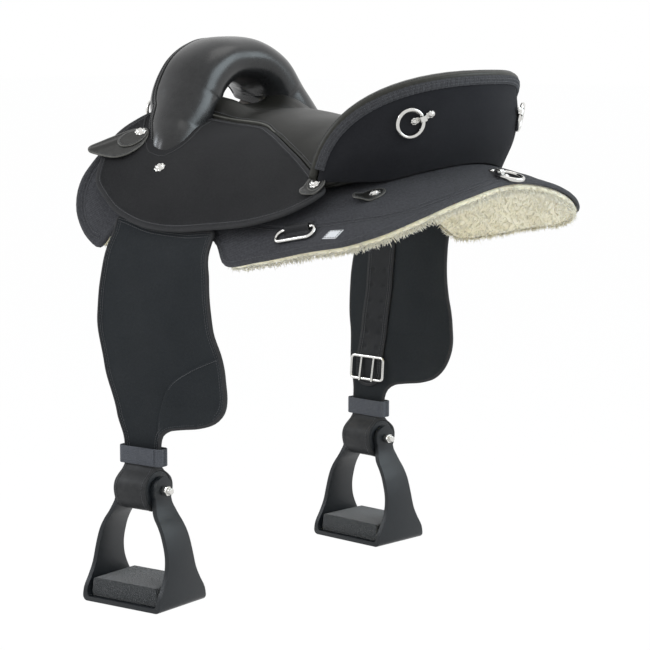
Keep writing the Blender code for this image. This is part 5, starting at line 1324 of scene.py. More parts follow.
for sideName, side in leftRight:
    loop = loopThrough(mirrored(jockeyOutline, side), 0.007)
    cover = sheetPiece("jockeyCover_" + sideName, loop, jockeyTop, drapeTop(jockeyShape["low"]),
                       "jockeyWeave", jockeyShape["grid"], jockeyShape["edge"], jockeyShape["bound"], (),
                       jockeyRelief, boundFinish="edgeTape")
    settle(cover, "saddle", "cordura", "jockey_" + sideName)
    sewRim("saddle", jockeyTop, loop, jockeyShape["rimRow"], 0.0010)
footRings = archPoint(np.radians(np.arange(190, 375, 5)), pommelShape["footSeam"])
for sideName, side in leftRight:
    line = []
    for column in footRings.transpose(1, 0, 2):
        chain = (column if side < 0 else column[::-1])[:len(column) // 2]
        ground = drapeOff(chain)[1] - jockeyShape["high"]
        first = int(np.argmax(ground > 0))
        share = ground[first] / (ground[first] - ground[first - 1]) if first else 0.0
        line.append(chain[first] + (chain[first - 1] - chain[first]) * share)
    line = np.array(line)
    at = drapeOff(line)[0]
    keep = (at > 0.098) & (line[:, 0] > -0.232)
    footCord = cordOnSheet("pommelFootCord_" + sideName, jockeyTop,
                           np.stack((line[keep, 0], at[keep] * side), 1), pommelShape["footCord"], "edgeTape",
                           pommelShape["footLift"], pommelShape["footSunk"])
    settle(footCord, "saddle", "cordura")
print("jockeys made")

# Fenders and stirrup leathers hang off the drape and then straight down.
hangShape = {
    "plane": ((-0.120, 0.284), (-0.200, 0.281), (-0.270, 0.274), (-0.340, 0.263), (-0.390, 0.2575),
              (-0.470, 0.2560)),
    "toe": 0.075, "middle": -0.090, "from": -0.075, "over": 0.060, "strapOff": 0.0040, "strap": 0.003,
    "fender": 0.004,
}
fenderOff = hangShape["strapOff"] + hangShape["strap"] + gap


def hangPlace(side, x, z, off, depth):
    x, z = np.asarray(x, float), np.asarray(z, float)
    share = smooth((hangShape["from"] - z) / hangShape["over"])
    s = drapeWhere(lambda mid: drapePoint(x, mid, off)[..., 2] > z, x, 0.08, 0.42, 22)
    onDrape = drapePoint(x, s, off)[..., 1]
    rows = [(-h, d) for h, d in hangShape["plane"]]
    onPlane = alongRows(-z, rows) - hangShape["toe"] * (x - hangShape["middle"]) - depth
    return np.stack((x, side * ((1 - share) * onDrape + share * onPlane), z), -1)


fenderShape = {
    "outline": ((-0.172, -0.056), (-0.111, -0.068), (-0.040, -0.071), (0.003, -0.068), (0.008, -0.084),
                (0.007, -0.117), (0.006, -0.165), (0.011, -0.208), (0.021, -0.240), (0.026, -0.274),
                (0.025, -0.300), (0.016, -0.323), (-0.002, -0.3395), (-0.029, -0.349), (-0.060, -0.354),
                (-0.084, -0.359), (-0.098, -0.368), (-0.1035, -0.381), (-0.104, -0.3985, "c"),
                (-0.170, -0.3985, "c"), (-0.171, -0.372), (-0.178, -0.345), (-0.184, -0.312),
                (-0.194, -0.250), (-0.197, -0.208), (-0.192, -0.164), (-0.182, -0.122), (-0.175, -0.080)),
    "patch": ((0.024, -0.243), (0.008, -0.246), (-0.036, -0.265), (-0.074, -0.290), (-0.098, -0.330),
              (-0.106, -0.364), (-0.108, -0.380)),
    "patchAround": ((-0.104, -0.42), (0.06, -0.42), (0.06, -0.24)),
    "bound": 0.0042, "grid": 0.0058, "edge": 0.0014, "boundHigh": 0.0007, "patchHigh": 0.0006,
    "groove": 0.0006, "ripple": 0.0006, "boundSpare": 0.012, "rimRows": (0.0020, 0.0055), "patchRow": 0.0030,
}
fenderLoop = loopThrough(fenderShape["outline"], 0.007)
patchSeam = lineThrough(fenderShape["patch"], 0.005)


def patchSide(u, v):
    # metres past the patch's seam, below and behind it
    points = np.stack((np.asarray(u, float), np.asarray(v, float)), 1)
    away = distanceTo(points, patchSeam, False)
    return np.where(insideLoop(points, np.concatenate((patchSeam, fenderShape["patchAround"]))), away, -away)


def fenderRelief(u, v, rim, seam):
    bound = fenderShape["boundHigh"] * smooth((fenderShape["bound"] + 0.0004 - rim) / 0.0008)
    patch = fenderShape["patchHigh"] * smooth(patchSide(u, v) / 0.0012)
    ripple = fenderShape["ripple"] * np.sin(v * 30 + u * 14) * smooth(rim / 0.03)
    return bound + patch - fenderShape["groove"] * ridge(seam, 0.0013) + ripple


for sideName, side in leftRight:
    body = "fender_" + sideName

    def fenderTop(u, v, extra, side=side):
        return hangPlace(side, u, v, fenderOff + hangShape["fender"] + extra, -extra)

    def fenderLow(u, v, extra, side=side):
        return hangPlace(side, u, v, fenderOff + extra, hangShape["fender"] - extra)

    cover = sheetPiece("fenderCover_" + sideName, fenderLoop, fenderTop, fenderLow, "fenderWeave",
                       fenderShape["grid"], fenderShape["edge"], fenderShape["bound"], [patchSeam],
                       fenderRelief, boundFinish="edgeTape")
    settle(cover, body, "cordura_fender", body)
    for inset in fenderShape["rimRows"]:
        sewRim(body, fenderTop, fenderLoop, fenderShape["bound"] + inset, 0.0002, -side)
    sewSheet(body, fenderTop, offsetLine(patchSeam, fenderShape["patchRow"])[1:-2], 0.0004, -side)

strapShape = {
    "wide": 0.055, "middle": ((0.050, -0.1315), (-0.060, -0.1250), (-0.137, -0.1260), (-0.227, -0.133),
                              (-0.322, -0.138), (-0.400, -0.139)),
    "heights": (-0.010, -0.050, -0.085, -0.120, -0.180, -0.240, -0.300, -0.345),
    "foot": -0.366, "footRise": 0.006, "hangerAt": -0.1315, "eyeStart": 0.1240, "toBar": 0.0020,
    "eyeWide": 0.0090, "eyeRadius": 0.0048, "hangerOut": 0.0064,
    "shoulders": ((1.0, 0.006), (0.6, 0.0), (-0.6, 0.0), (-1.0, 0.006)),
    "holes": 6, "firstHole": -0.180, "holePitch": 0.025, "holeApart": 0.026, "holeRadius": 0.0032,
    "grid": 0.0042, "edge": 0.0008, "rimRows": (0.0040, 0.0080),
}


def strapMiddle(z):
    return alongRows(-np.asarray(z, float), [(-h, d) for h, d in strapShape["middle"]])


def strapTopHeight(x):
    barAt = strapShape["eyeStart"] + strapShape["toBar"]
    s = drapeWhere(lambda mid: drapePoint(x, mid, hangShape["strapOff"])[..., 1] < barAt, x, 0.08, 0.2, 22)
    return float(drapePoint(x, s, hangShape["strapOff"])[2])


strapHalf = strapShape["wide"] / 2
strapFootX = float(strapMiddle(strapShape["foot"]))
strapEdges = [[(float(strapMiddle(z)) + way * strapHalf, z) for z in strapShape["heights"]] for way in (-1, 1)]
strapFoot = [(strapFootX + way * strapHalf * 0.7, strapShape["foot"] + abs(way) * strapShape["footRise"])
             for way in (-1, 0, 1)]
shoulderRows = [(strapShape["hangerAt"] + share * strapHalf, drop) for share, drop in strapShape["shoulders"]]
strapTop = [(x, strapTopHeight(x) - drop) for x, drop in shoulderRows]
strapLoop = loopThrough(strapEdges[0] + strapFoot + strapEdges[1][::-1] + strapTop, 0.006)
strapHoles = [(way * strapShape["holeApart"] / 2, strapShape["firstHole"] - strapShape["holePitch"] * k)
              for k in range(strapShape["holes"]) for way in (-1, 1)]


def strapRelief(u, v, rim, seam):
    dents = np.zeros(np.shape(u))
    for dx, z in strapHoles:
        away = np.hypot(u - (strapMiddle(z) + dx), v - z)
        dents = dents + 0.0022 * smooth((strapShape["holeRadius"] - away) / 0.0012)
    return -0.0003 * ridge(rim - 0.0035, 0.0006) - dents


for sideName, side in leftRight:
    body = "fender_" + sideName

    # the strap's show side is its inner face, towards the horse
    def strapOuterFace(u, v, extra, side=side):
        return hangPlace(side, u, v, hangShape["strapOff"] + hangShape["strap"] - extra,
                         hangShape["fender"] + gap + extra)

    def strapInnerFace(u, v, extra, side=side):
        return hangPlace(side, u, v, hangShape["strapOff"] - extra,
                         hangShape["fender"] + gap + hangShape["strap"] + extra)

    strap = sheetPiece("stirrupStrap_" + sideName, strapLoop, strapInnerFace, strapOuterFace, "strapLeather",
                       strapShape["grid"], strapShape["edge"], relief=strapRelief)
    settle(strap, body, "leather_trim", "stirrup_leather_" + sideName)
    for wide in strapShape["rimRows"]:
        sewRim(body, strapInnerFace, strapLoop, wide, 0.0, side)
    eyeStart, eyeWide = strapShape["eyeStart"], strapShape["eyeWide"]
    hangerZ = float(drapeAtY(strapShape["hangerAt"], eyeStart, strapShape["hangerOut"])[2])
    eye = primitive(bpy.ops.mesh.primitive_cylinder_add, "leatherEye_" + sideName, vertices=32,
                    radius=strapShape["eyeRadius"], depth=eyeWide, rotation=(math.radians(90), 0, 0),
                    location=(strapShape["hangerAt"], side * (eyeStart + eyeWide / 2), hangerZ))
    bevelEdges(eye, 0.0008, 3, 30)
    eye.data.materials.append(finishes["nickel"])
    settle(eye, body)
print("fenders and leathers made")

# Stirrups.
stirrupShape = {
    "bolt": (-0.1375, 0.2595, -0.446), "boltRadius": 0.0045, "boltFrom": -0.0420, "boltTo": 0.0530,
    "boss": 0.0195, "deepHalf": 0.053, "hexFlats": 0.0130,
    "heads": (("boltHead_", -0.0440, -0.0378), ("boltNut_", 0.0378, 0.0470)),
    "threads": 6, "threadFrom": 0.0476, "threadPitch": 0.0008, "threadWire": 0.00028,
    "width": ((0.020, 0.0375, 0.0080), (-0.012, 0.0375, 0.0080), (-0.033, 0.0440, 0.0080),
              (-0.048, 0.0535, 0.0075), (-0.064, 0.0612, 0.0072), (-0.090, 0.0680, 0.0070),
              (-0.120, 0.0705, 0.0070), (-0.150, 0.0715, 0.0070)),
    "foot": -0.165, "plate": 0.0065, "corner": 0.008,
    "depth": ((-0.020, 0.0180), (-0.036, 0.0228), (-0.062, 0.0258), (-0.090, 0.0275), (-0.112, 0.0318),
              (-0.130, 0.0405), (-0.146, 0.0500), (-0.165, 0.0525)),
    "pad": 0.027, "padHalf": 0.0440,
    "loop": ((0.0, -0.0325), (0.0163, -0.0281), (0.0281, -0.0163), (0.0325, 0.0), (0.0300, 0.0120),
             (0.0225, 0.0200), (0.0130, 0.0270), (0.0080, 0.0330), (0.0080, 0.0472)),
    "loopWide": 0.0565, "loopRow": 0.005, "roller": 0.027, "rollerHalf": 0.0280,
    "hobbleLow": 0.0345, "hobbleHigh": 0.0600, "hobbleThick": 0.0022, "hobbleShift": 0.0008,
    "hobbleLong": 0.0392, "hobbleDeep": 0.0112, "hobbleCorner": 0.0074, "hobbleIn": 0.0006,
    "lapHalf": 0.0135, "lapThick": 0.0009, "lapAt": 0.0150, "lapOut": 0.0007, "lapIn": 0.0008,
}
toeAngle = math.atan(hangShape["toe"])
uprightTurn = Matrix.Rotation(math.radians(90), 4, "X")
sidewaysTurn = Matrix(((0, 0, 1, 0), (1, 0, 0, 0), (0, 1, 0, 0), (0, 0, 0, 1)))


def extrudedPiece(name, outline, low, high, matrix, finish, bevel=0.0):
    # a filled outline, extruded in edit mode and placed
    loop = anticlockwise(np.asarray(outline, float))
    obj = newPiece(name, np.column_stack((loop, np.full(len(loop), low))), [tuple(range(len(loop)))], finish)
    obj.data.shade_flat()
    onlyThis(obj)
    bpy.ops.object.mode_set(mode="EDIT")
    bpy.ops.mesh.select_all(action="SELECT")
    bpy.ops.mesh.extrude_region_move(TRANSFORM_OT_translate={"value": (0, 0, high - low)})
    bpy.ops.mesh.select_all(action="SELECT")
    bpy.ops.mesh.normals_make_consistent(inside=False)
    bpy.ops.object.mode_set(mode="OBJECT")
    if bevel:
        bevelEdges(obj, bevel, 3, 40)
    obj.data.transform(matrix)
    return obj


def circle(radius, sides, start=0.0, sweep=360.0):
    return [(radius * math.cos(math.radians(start + sweep * k / sides)),
             radius * math.sin(math.radians(start + sweep * k / sides))) for k in range(sides)]


def roundedBox(halfX, halfY, corner, steps=8):
    out = []
    for cx, cy, start in ((1, 1, 0), (-1, 1, 90), (-1, -1, 180), (1, -1, 270)):
        for k in range(steps + 1):
            angle = math.radians(start + 90 * k / steps)
            out.append((cx * (halfX - corner) + corner * math.cos(angle),
                        cy * (halfY - corner) + corner * math.sin(angle)))
    return out


def fineLine(rows, spacing=0.004):
    return [tuple(p) for p in lineThrough(rows, spacing)]


def otherHalf(rows):
    return [(-x, z) for x, z in rows[::-1]]


def frameOutline():
    foot, plate, corner = stirrupShape["foot"], stirrupShape["plate"], stirrupShape["corner"]
    widths = fineLine([(w, z) for z, w, _ in stirrupShape["width"]], 0.006)
    thicks = fineLine([(w - t, z) for z, w, t in stirrupShape["width"]], 0.006)
    half = stirrupShape["width"][-1][1]
    inside = half - stirrupShape["width"][-1][2]
    outer = widths + [(half + 0.0003, foot + corner), (half - 0.0003, foot + 0.0048),
                      (half - 0.0020, foot + 0.0024), (half - 0.0045, foot + 0.0007), (half - 0.0075, foot)]
    inner = thicks + [(inside - 0.0005, foot + plate + 0.0060), (inside - 0.0015, foot + plate + 0.0025),
                      (inside - 0.0045, foot + plate)]
    return outer + otherHalf(outer) + otherHalf(inner)[::-1] + inner[::-1]


def padOutline(low, high):
    half = stirrupShape["width"][-1][1] - stirrupShape["width"][-1][2] - 0.0055
    rows = [(half, low), (half + 0.0020, low + 0.0050), (half - 0.0003, high - 0.0040),
            (half - 0.0015, high - 0.0012), (half - 0.0043, high)]
    return rows + otherHalf(rows)


def depthOutline():
    boss = circle(stirrupShape["boss"], 24, -30, 240) + circle(stirrupShape["boss"], 1, 210)
    flank = fineLine([(d, z) for z, d in stirrupShape["depth"]], 0.006)
    return flank[::-1] + boss + [(-d, z) for d, z in flank]


def cutBy(obj, outline, reach, matrix, finish, operation="DIFFERENCE"):
    # cuts with an outline extruded to both sides
    tool = extrudedPiece("tool", outline, -reach, reach, matrix, finish)
    finishModifier(obj, "BOOLEAN", operation=operation, object=tool, solver="EXACT")
    bpy.data.objects.remove(tool, do_unlink=True)


def bandPiece(name, path, low, high, thick, matrix, finish):
    # closed band of webbing: path in plan, section a rounded rectangle
    path = np.asarray(path, float)
    q = unit(np.roll(path, -1, 0) - np.roll(path, 1, 0))
    out = np.stack((q[:, 1], -q[:, 0]), 1)
    middle, halfHigh, r = (low + high) / 2, (high - low) / 2, thick / 2
    straight = halfHigh - r
    section = [(r * math.cos(a), straight + r * math.sin(a)) for a in np.linspace(0, math.pi, 6)]
    section += [(-r, straight * k / 4) for k in range(3, -4, -1)]
    section += [(r * math.cos(a), -straight + r * math.sin(a)) for a in np.linspace(math.pi, 2 * math.pi, 6)]
    section += [(r, straight * k / 4) for k in range(-3, 4)]
    verts, uv = [], []
    for place, away, run in zip(path, out, runLengths(closedUp(path))):
        for o, h in section:
            verts.append((place[0] + away[0] * o, place[1] + away[1] * o, middle + h))
            uv.append((run, h + o))
    obj = newPiece(name, np.array(verts), tubeFaces(len(path), len(section), True), finish)
    storeUv(obj, uv)
    obj.data.transform(matrix)
    faceOutwards(obj)
    return obj


def finished(obj, width, segments, degrees, soft=40):
    bevelEdges(obj, width, segments, degrees)
    smoothByAngle(obj, soft)
    return obj


for sideName, side in leftRight:
    body, frameBody = "fender_" + sideName, "stirrup_" + sideName
    boltX, boltY, boltZ = stirrupShape["bolt"]
    seatAt = Matrix.Translation((boltX, side * boltY, boltZ)) @ Matrix.Rotation(-side * toeAngle, 4, "Z")
    across = seatAt @ sidewaysTurn
    bore = stirrupShape["boltRadius"] + gap
    stirrup = extrudedPiece("stirrupFrame_" + sideName, frameOutline(), -stirrupShape["deepHalf"],
                            stirrupShape["deepHalf"], seatAt @ uprightTurn, "stirrupPlastic")
    cutBy(stirrup, depthOutline(), 0.090, across, "stirrupPlastic", "INTERSECT")
    cutBy(stirrup, circle(bore, 40), 0.090, across, "stirrupPlastic")
    settle(finished(stirrup, 0.0014, 3, 38), frameBody, "stirrup_plastic", "stirrup_frame_" + sideName)

    padLow = stirrupShape["foot"] + stirrupShape["plate"] + gap
    pad = extrudedPiece("treadFoam_" + sideName, padOutline(padLow, padLow + stirrupShape["pad"]),
                        -stirrupShape["padHalf"], stirrupShape["padHalf"], uprightTurn, "padFoam", 0.0012)
    onlyThis(pad)
    bpy.ops.object.mode_set(mode="EDIT")
    bpy.ops.mesh.select_all(action="SELECT")
    bpy.ops.mesh.quads_convert_to_tris()
    bpy.ops.mesh.subdivide(number_cuts=3)
    bpy.ops.object.mode_set(mode="OBJECT")
    pad.data.transform(seatAt)
    settle(pad, frameBody, "foam", "tread_pad_" + sideName)

    half, loopHalf = fineLine(stirrupShape["loop"][:8]), stirrupShape["loopWide"] / 2
    half.append(stirrupShape["loop"][8])
    outer = half + otherHalf(half)[:-1]
    loop = extrudedPiece("leatherLoop_" + sideName, outer, -loopHalf, loopHalf, across, "strapLeather")
    cutBy(loop, circle(stirrupShape["roller"] + gap, 48), 0.060, across, "strapLeather")
    settle(finished(loop, 0.0009, 3, 50, 45), body, "leather_trim", "leather_loop_" + sideName)
    for way in (-1, 1):
        rowAt = way * (loopHalf - stirrupShape["loopRow"])
        rowPoints = [tuple(across @ Vector((x * 1.004, y * 1.004, rowAt))) for x, y in outer]
        rowNormals = [tuple(across.to_3x3() @ Vector((x, y, 0)).normalized()) for x, y in outer]
        sewAlong(body, np.array(rowPoints), np.array(rowNormals))

    roller = extrudedPiece("rollerDrum_" + sideName, circle(stirrupShape["roller"], 64),
                           -stirrupShape["rollerHalf"], stirrupShape["rollerHalf"], across, "stirrupPlastic")
    cutBy(roller, circle(bore, 32), 0.060, across, "stirrupPlastic")
    settle(finished(roller, 0.001, 2, 50), body, "stirrup_plastic", "stirrup_roller_" + sideName)

    bolt = extrudedPiece("pivotBolt_" + sideName, circle(stirrupShape["boltRadius"], 40),
                         stirrupShape["boltFrom"], stirrupShape["boltTo"], across, "nickel", 0.0008)
    smoothByAngle(bolt, 40)
    settle(bolt, frameBody, "nickel", "stirrup_bolt_" + sideName)
    for headName, low, high in stirrupShape["heads"]:
        head = extrudedPiece(headName + sideName, circle(stirrupShape["hexFlats"] / math.sqrt(3), 6), low, high,
                             across, "nickel", 0.0007)
        smoothByAngle(head, 30)
        settle(head, frameBody, "nickel")
    for row in range(stirrupShape["threads"]):
        thread = primitive(bpy.ops.mesh.primitive_torus_add, "boltThread_%s_%d" % (sideName, row),
                           major_radius=stirrupShape["boltRadius"], minor_radius=stirrupShape["threadWire"],
                           major_segments=40, minor_segments=6)
        height = stirrupShape["threadFrom"] + stirrupShape["threadPitch"] * row
        thread.data.transform(across @ Matrix.Translation((0, 0, height)))
        thread.data.materials.append(finishes["nickel"])
        bpy.ops.object.shade_smooth()
        settle(thread, frameBody)

    bandAt = seatAt @ Matrix.Translation((stirrupShape["hobbleShift"], -stirrupShape["hobbleIn"] * side, 0.0))
    inner, deep = stirrupShape["hobbleThick"] / 2, stirrupShape["hobbleDeep"]
    band = bandPiece("hobbleBand_" + sideName,
                     roundedBox(stirrupShape["hobbleLong"] - inner, deep - inner, stirrupShape["hobbleCorner"]),
                     stirrupShape["hobbleLow"], stirrupShape["hobbleHigh"], stirrupShape["hobbleThick"], bandAt,
                     "webbingWeave")
    settle(band, body, "webbing", "hobble_strap_" + sideName)
    lapTurn = bandAt @ Matrix.Translation((stirrupShape["lapAt"], side * (deep + stirrupShape["lapOut"]), 0.0))
    lap = extrudedPiece("hobbleLap_" + sideName,
                        roundedBox(stirrupShape["lapHalf"], stirrupShape["lapThick"], 0.0008, 4),
                        stirrupShape["hobbleLow"] + stirrupShape["lapIn"],
                        stirrupShape["hobbleHigh"] - stirrupShape["lapIn"], lapTurn, "webbingWeave")
    bevelEdges(lap, 0.0004, 2, 50)
    storeUv(lap, [(v.co.x, v.co.z) for v in lap.data.vertices])
    smoothByAngle(lap, 40)
    settle(lap, body, "webbing")
print("stirrups made")

# Buckles on the inner face of the stirrup leathers.
buckleShape = {"long": 0.0340, "high": 0.0180, "corner": 0.006, "wire": 0.0024, "at": -0.336,
               "tongue": 0.0018, "apart": 0.026}
buckleOut = buckleShape["wire"] + 2 * gap


def buckleSpot(side, dx, dz, out):
    z = buckleShape["at"]
    here = hangPlace(side, np.array([float(strapMiddle(z)) + dx]), np.array([z + dz]), hangShape["strapOff"],
                     hangShape["fender"] + gap + hangShape["strap"])[0]
    return Vector(here) - Vector((hangShape["toe"] * side, side, 0)).normalized() * out


def wireLoop(name, points, radius):
    points = np.array([tuple(p) for p in points])
    run = unit(np.roll(points, -1, 0) - np.roll(points, 1, 0))
    third = len(points) // 3
    square = np.cross(points[third] - points[0], points[2 * len(points) // 3] - points[0])
    square /= np.linalg.norm(square)
    out = unit(square - run * (run @ square)[:, None])
    return ringTube(name, points, np.cross(run, out), out, radius, radius, "nickel", closed=True)


for sideName, side in leftRight:
    body = "fender_" + sideName
    hoop = roundedBox(buckleShape["long"], buckleShape["high"], buckleShape["corner"])
    buckle = wireLoop("strapBuckle_" + sideName, [buckleSpot(side, x, z, buckleOut) for x, z in hoop],
                      buckleShape["wire"])
    settle(buckle, body, "nickel", "buckle_" + sideName)
    for k, dx in enumerate((-buckleShape["apart"] / 2, buckleShape["apart"] / 2)):
        spots = ((buckleShape["high"], 0.0), (0.0, 0.0010), (-buckleShape["high"] - 0.003, 0.0030))
        line = lineThrough([tuple(buckleSpot(side, dx, dz, buckleOut + out)) for dz, out in spots], 0.002)
        tongue = cordTube("buckleTongue_%s_%d" % (sideName, k), line, buckleShape["tongue"], "nickel", 12,
                          np.array((1.0, 0.0, 0.0)))
        settle(tongue, body, "nickel")
print("buckles made")

# Screws with a lobed washer, modelled once and copied to each place.
conchoShape = {
    "radius": 0.0079, "thick": 0.0010, "lobes": 8, "lobeDeep": 0.10, "slotDeep": 0.0006,
    # how far each ring of the face is set in, and raised
    "rings": ((0.0012, 0.0006), (0.0008, -0.0004), (0.0006, 0.0012), (0.0010, 0.0010), (0.0012, 0.0007),
              (0.0010, 0.0002)),
}
conchoMaster = primitive(bpy.ops.mesh.primitive_cylinder_add, "conchoMaster", vertices=48,
                         radius=conchoShape["radius"], depth=conchoShape["thick"],
                         location=(0, 0, conchoShape["thick"] / 2))
bpy.ops.object.mode_set(mode="EDIT")
bpy.ops.mesh.select_mode(type="FACE")
bpy.ops.mesh.select_all(action="DESELECT")
conchoEdit = bmesh.from_edit_mesh(conchoMaster.data)
for face in conchoEdit.faces:
    face.select_set(face.normal.z > 0.9)
bmesh.update_edit_mesh(conchoMaster.data)
for inset, lift in conchoShape["rings"]:
    bpy.ops.mesh.inset(thickness=inset)
    bpy.ops.transform.translate(value=(0, 0, lift))
bpy.ops.object.mode_set(mode="OBJECT")
for vert in conchoMaster.data.vertices:
    reach = math.hypot(vert.co.x, vert.co.y)
    lobe = conchoShape["lobeDeep"] * math.cos(conchoShape["lobes"] * math.atan2(vert.co.y, vert.co.x))
    slot = smooth((0.0006 - abs(vert.co.y)) / 0.0004) if reach < 0.0028 else 0.0
    grow = 1 + lobe * smooth((reach - 0.0035) / 0.003)
    vert.co = (vert.co.x * grow, vert.co.y * grow, vert.co.z - conchoShape["slotDeep"] * float(slot))
bevelEdges(conchoMaster, 0.00018, 2, 35)
conchoMaster.data.materials.append(finishes["nickel"])
smoothByAngle(conchoMaster, 40)


def placeConcho(name, matrix, body, height=0.0, nodes=(), scale=1.0):
    obj = linked(bpy.data.objects.new(name, conchoMaster.data.copy()))
    obj.data.transform(matrix @ Matrix.Translation((0, 0, height)) @ Matrix.Scale(scale, 4))
    return settle(obj, body, "nickel", *nodes)


# Leather tabs: a flat end under the screw and a curled lip.
tabShape = {
    "thick": 0.0024, "grid": 0.0022, "edge": 0.0008, "row": 0.0032, "jockeyScrew": (-0.138, 0.222),
    "leafAt": (-0.204, 0.184), "leafToward": (-0.035, 0.060), "leafCurl": (0.010, 0.060, -0.004),
    "leafRidge": 0.0012, "washerThick": 0.0018, "lift": 0.001,
    "leaf": ((-0.204, 0.171), (-0.219, 0.182), (-0.231, 0.203), (-0.243, 0.226), (-0.250, 0.245),
             (-0.242, 0.254), (-0.221, 0.250), (-0.200, 0.243), (-0.187, 0.228), (-0.183, 0.206),
             (-0.190, 0.183)),
    "smallLeaf": ((-0.204, 0.173), (-0.214, 0.183), (-0.222, 0.200), (-0.220, 0.216), (-0.206, 0.222),
                  (-0.193, 0.212), (-0.190, 0.194), (-0.194, 0.180)),
    "rosetteAt": (0.133, 0.1950), "rosetteRadius": 0.0155, "lobe": 0.0085, "lobeWide": 0.75,
    "rosetteTilt": 20.0, "rosetteLift": 0.0062, "rosetteToward": (-0.45, 1.0),
    "rosetteCurl": (0.011, 0.012, 0.006), "rosetteRing": 0.0118, "rosetteWire": 0.0009, "ringSunk": 0.0003,
    "skirtTabAt": (0.207, 0.168), "skirtTabToward": (-0.6, 1.0), "skirtTabLift": 0.0007,
    "skirtTabCurl": (0.012, 0.016, 0.007), "skirtTabMiddle": 0.00775, "skirtTabHalf": (0.02325, 0.0160),
}


def placed(matrix, u, v, height):
    # points given in a matrix's own frame
    return np.stack((u, v, height), -1) @ np.array(matrix.to_3x3()).T + np.array(matrix.translation)


def tabPiece(name, matrix, outline, toward, thick, curled, base=0.0, fold=0.0):
    # curled is where along its reach a tab starts to curl, over what length and how high
    reach = np.array(toward) / np.linalg.norm(toward)
    curlFrom, curlOver, curlRise = curled

    def curl(u, v):
        return base + curlRise * smooth((u * reach[0] + v * reach[1] - curlFrom) / curlOver)

    def topFace(u, v, extra):
        return placed(matrix, u, v, curl(u, v) + thick + extra)

    def lowFace(u, v, extra):
        return placed(matrix, u, v, curl(u, v) + extra)

    def relief(u, v, rim, seam):
        across = u * -reach[1] + v * reach[0]
        folded = fold * ridge(across, 0.004) * smooth((u * reach[0] + v * reach[1] - 0.010) / 0.02)
        return folded - 0.00035 * ridge(rim - 0.0022, 0.0006)

    tab = sheetPiece(name, outline, topFace, lowFace, "tabLeather", tabShape["grid"], tabShape["edge"],
                     relief=relief)
    sewRim("saddle", topFace, outline, tabShape["row"])
    return tab


def localLeaf(rows, side):
    x, y = tabShape["leafAt"]
    return loopThrough([(p[0] - x, side * (p[1] - y)) for p in rows], 0.003)


ovalWay = 2 * math.pi * np.arange(48) / 48
skirtTabLoop = (np.stack((np.cos(ovalWay), np.sin(ovalWay)), 1) * tabShape["skirtTabHalf"]
                + (tabShape["skirtTabMiddle"], 0.0))
around = np.radians(np.arange(0, 360, 6))
aroundWay = np.stack((np.cos(around), np.sin(around)), 1)
lobeReach = tabShape["rosetteRadius"] + tabShape["lobe"] * ridge(np.minimum(around, 2 * math.pi - around),
                                                                 tabShape["lobeWide"])
for sideName, side in leftRight:
    deckHigh, thick = jockeyShape["high"], tabShape["thick"]
    screwFrame = drapeFrame(tabShape["jockeyScrew"], side, deckHigh + tabShape["lift"])
    placeConcho("jockeyConcho_" + sideName, screwFrame, "saddle", nodes=("jockey_screw_" + sideName,))
    leafFrame = drapeFrame(tabShape["leafAt"], side, deckHigh + tabShape["lift"])
    toward = (tabShape["leafToward"][0], side * tabShape["leafToward"][1])
    leaf = tabPiece("leafKeeper_" + sideName, leafFrame, localLeaf(tabShape["leaf"], side), toward, thick,
                    tabShape["leafCurl"], fold=tabShape["leafRidge"])
    settle(leaf, "saddle", "leather_trim", "leaf_keeper_" + sideName)
    small = tabPiece("leafWasher_" + sideName, leafFrame, localLeaf(tabShape["smallLeaf"], side), toward,
                     tabShape["washerThick"], tabShape["leafCurl"], base=thick)
    settle(small, "saddle", "leather_trim")
    placeConcho("leafConcho_" + sideName, leafFrame, "saddle", thick + tabShape["washerThick"],
                ("leaf_screw_" + sideName,))
    toward = tabShape["rosetteToward"]
    rosetteFrame = (drapeFrame(tabShape["rosetteAt"], side, deckHigh + tabShape["rosetteLift"])
                    @ Matrix.Rotation(-side * math.radians(tabShape["rosetteTilt"]), 4, "X"))
    rosetteFrame = turned(rosetteFrame, toward[0], side * toward[1])
    rosette = tabPiece("rosetteTab_" + sideName, rosetteFrame, aroundWay * lobeReach[:, None], (1, 0), thick,
                       tabShape["rosetteCurl"])
    ringAt = placed(rosetteFrame, *(aroundWay * tabShape["rosetteRing"]).T, np.full(len(around), thick))
    ringUp = np.array(rosetteFrame.to_3x3().col[2])
    washer = cordTube("rosetteRing_" + sideName, ringAt, tabShape["rosetteWire"], "tabLeather", 8, ringUp,
                      tabShape["ringSunk"], True)
    settle(washer, "saddle", "leather_trim")
    settle(rosette, "saddle", "leather_trim", "rosette_" + sideName)
    placeConcho("rosetteConcho_" + sideName, rosetteFrame, "saddle", thick, ("rosette_screw_" + sideName,))
    toward = tabShape["skirtTabToward"]
    tabFrame = turned(drapeFrame(tabShape["skirtTabAt"], side, tabShape["skirtTabLift"]), toward[0],
                      side * toward[1])
    tab = tabPiece("skirtTab_" + sideName, tabFrame, skirtTabLoop, (1, 0), thick, tabShape["skirtTabCurl"])
    settle(tab, "saddle", "leather_trim", "skirt_tab_" + sideName)
    placeConcho("skirtConcho_" + sideName, tabFrame, "saddle", thick, ("skirt_screw_" + sideName,))
print("tabs and conchos made")

# Rings under pressed clips.
clipShape = {"thick": 0.0014, "clear": 0.0006, "width": 0.0078, "endRound": 0.0035, "lift": 0.0002,
             "headSize": 0.62}
ringShape = {"cantleArc": 0.1290, "cantleHigh": 0.080, "cantleRadius": 0.0188, "wire": 0.0028, "tilt": 23.0,
             "crupperAt": (0.312, 0.0), "crupperRadius": 0.0185, "frontRadius": 0.0150, "frontWire": 0.0024,
             "frontAt": (-0.2535, 0.104, 0.084), "weld": 0.10, "weldAt": 2.2, "weldWide": 0.05}


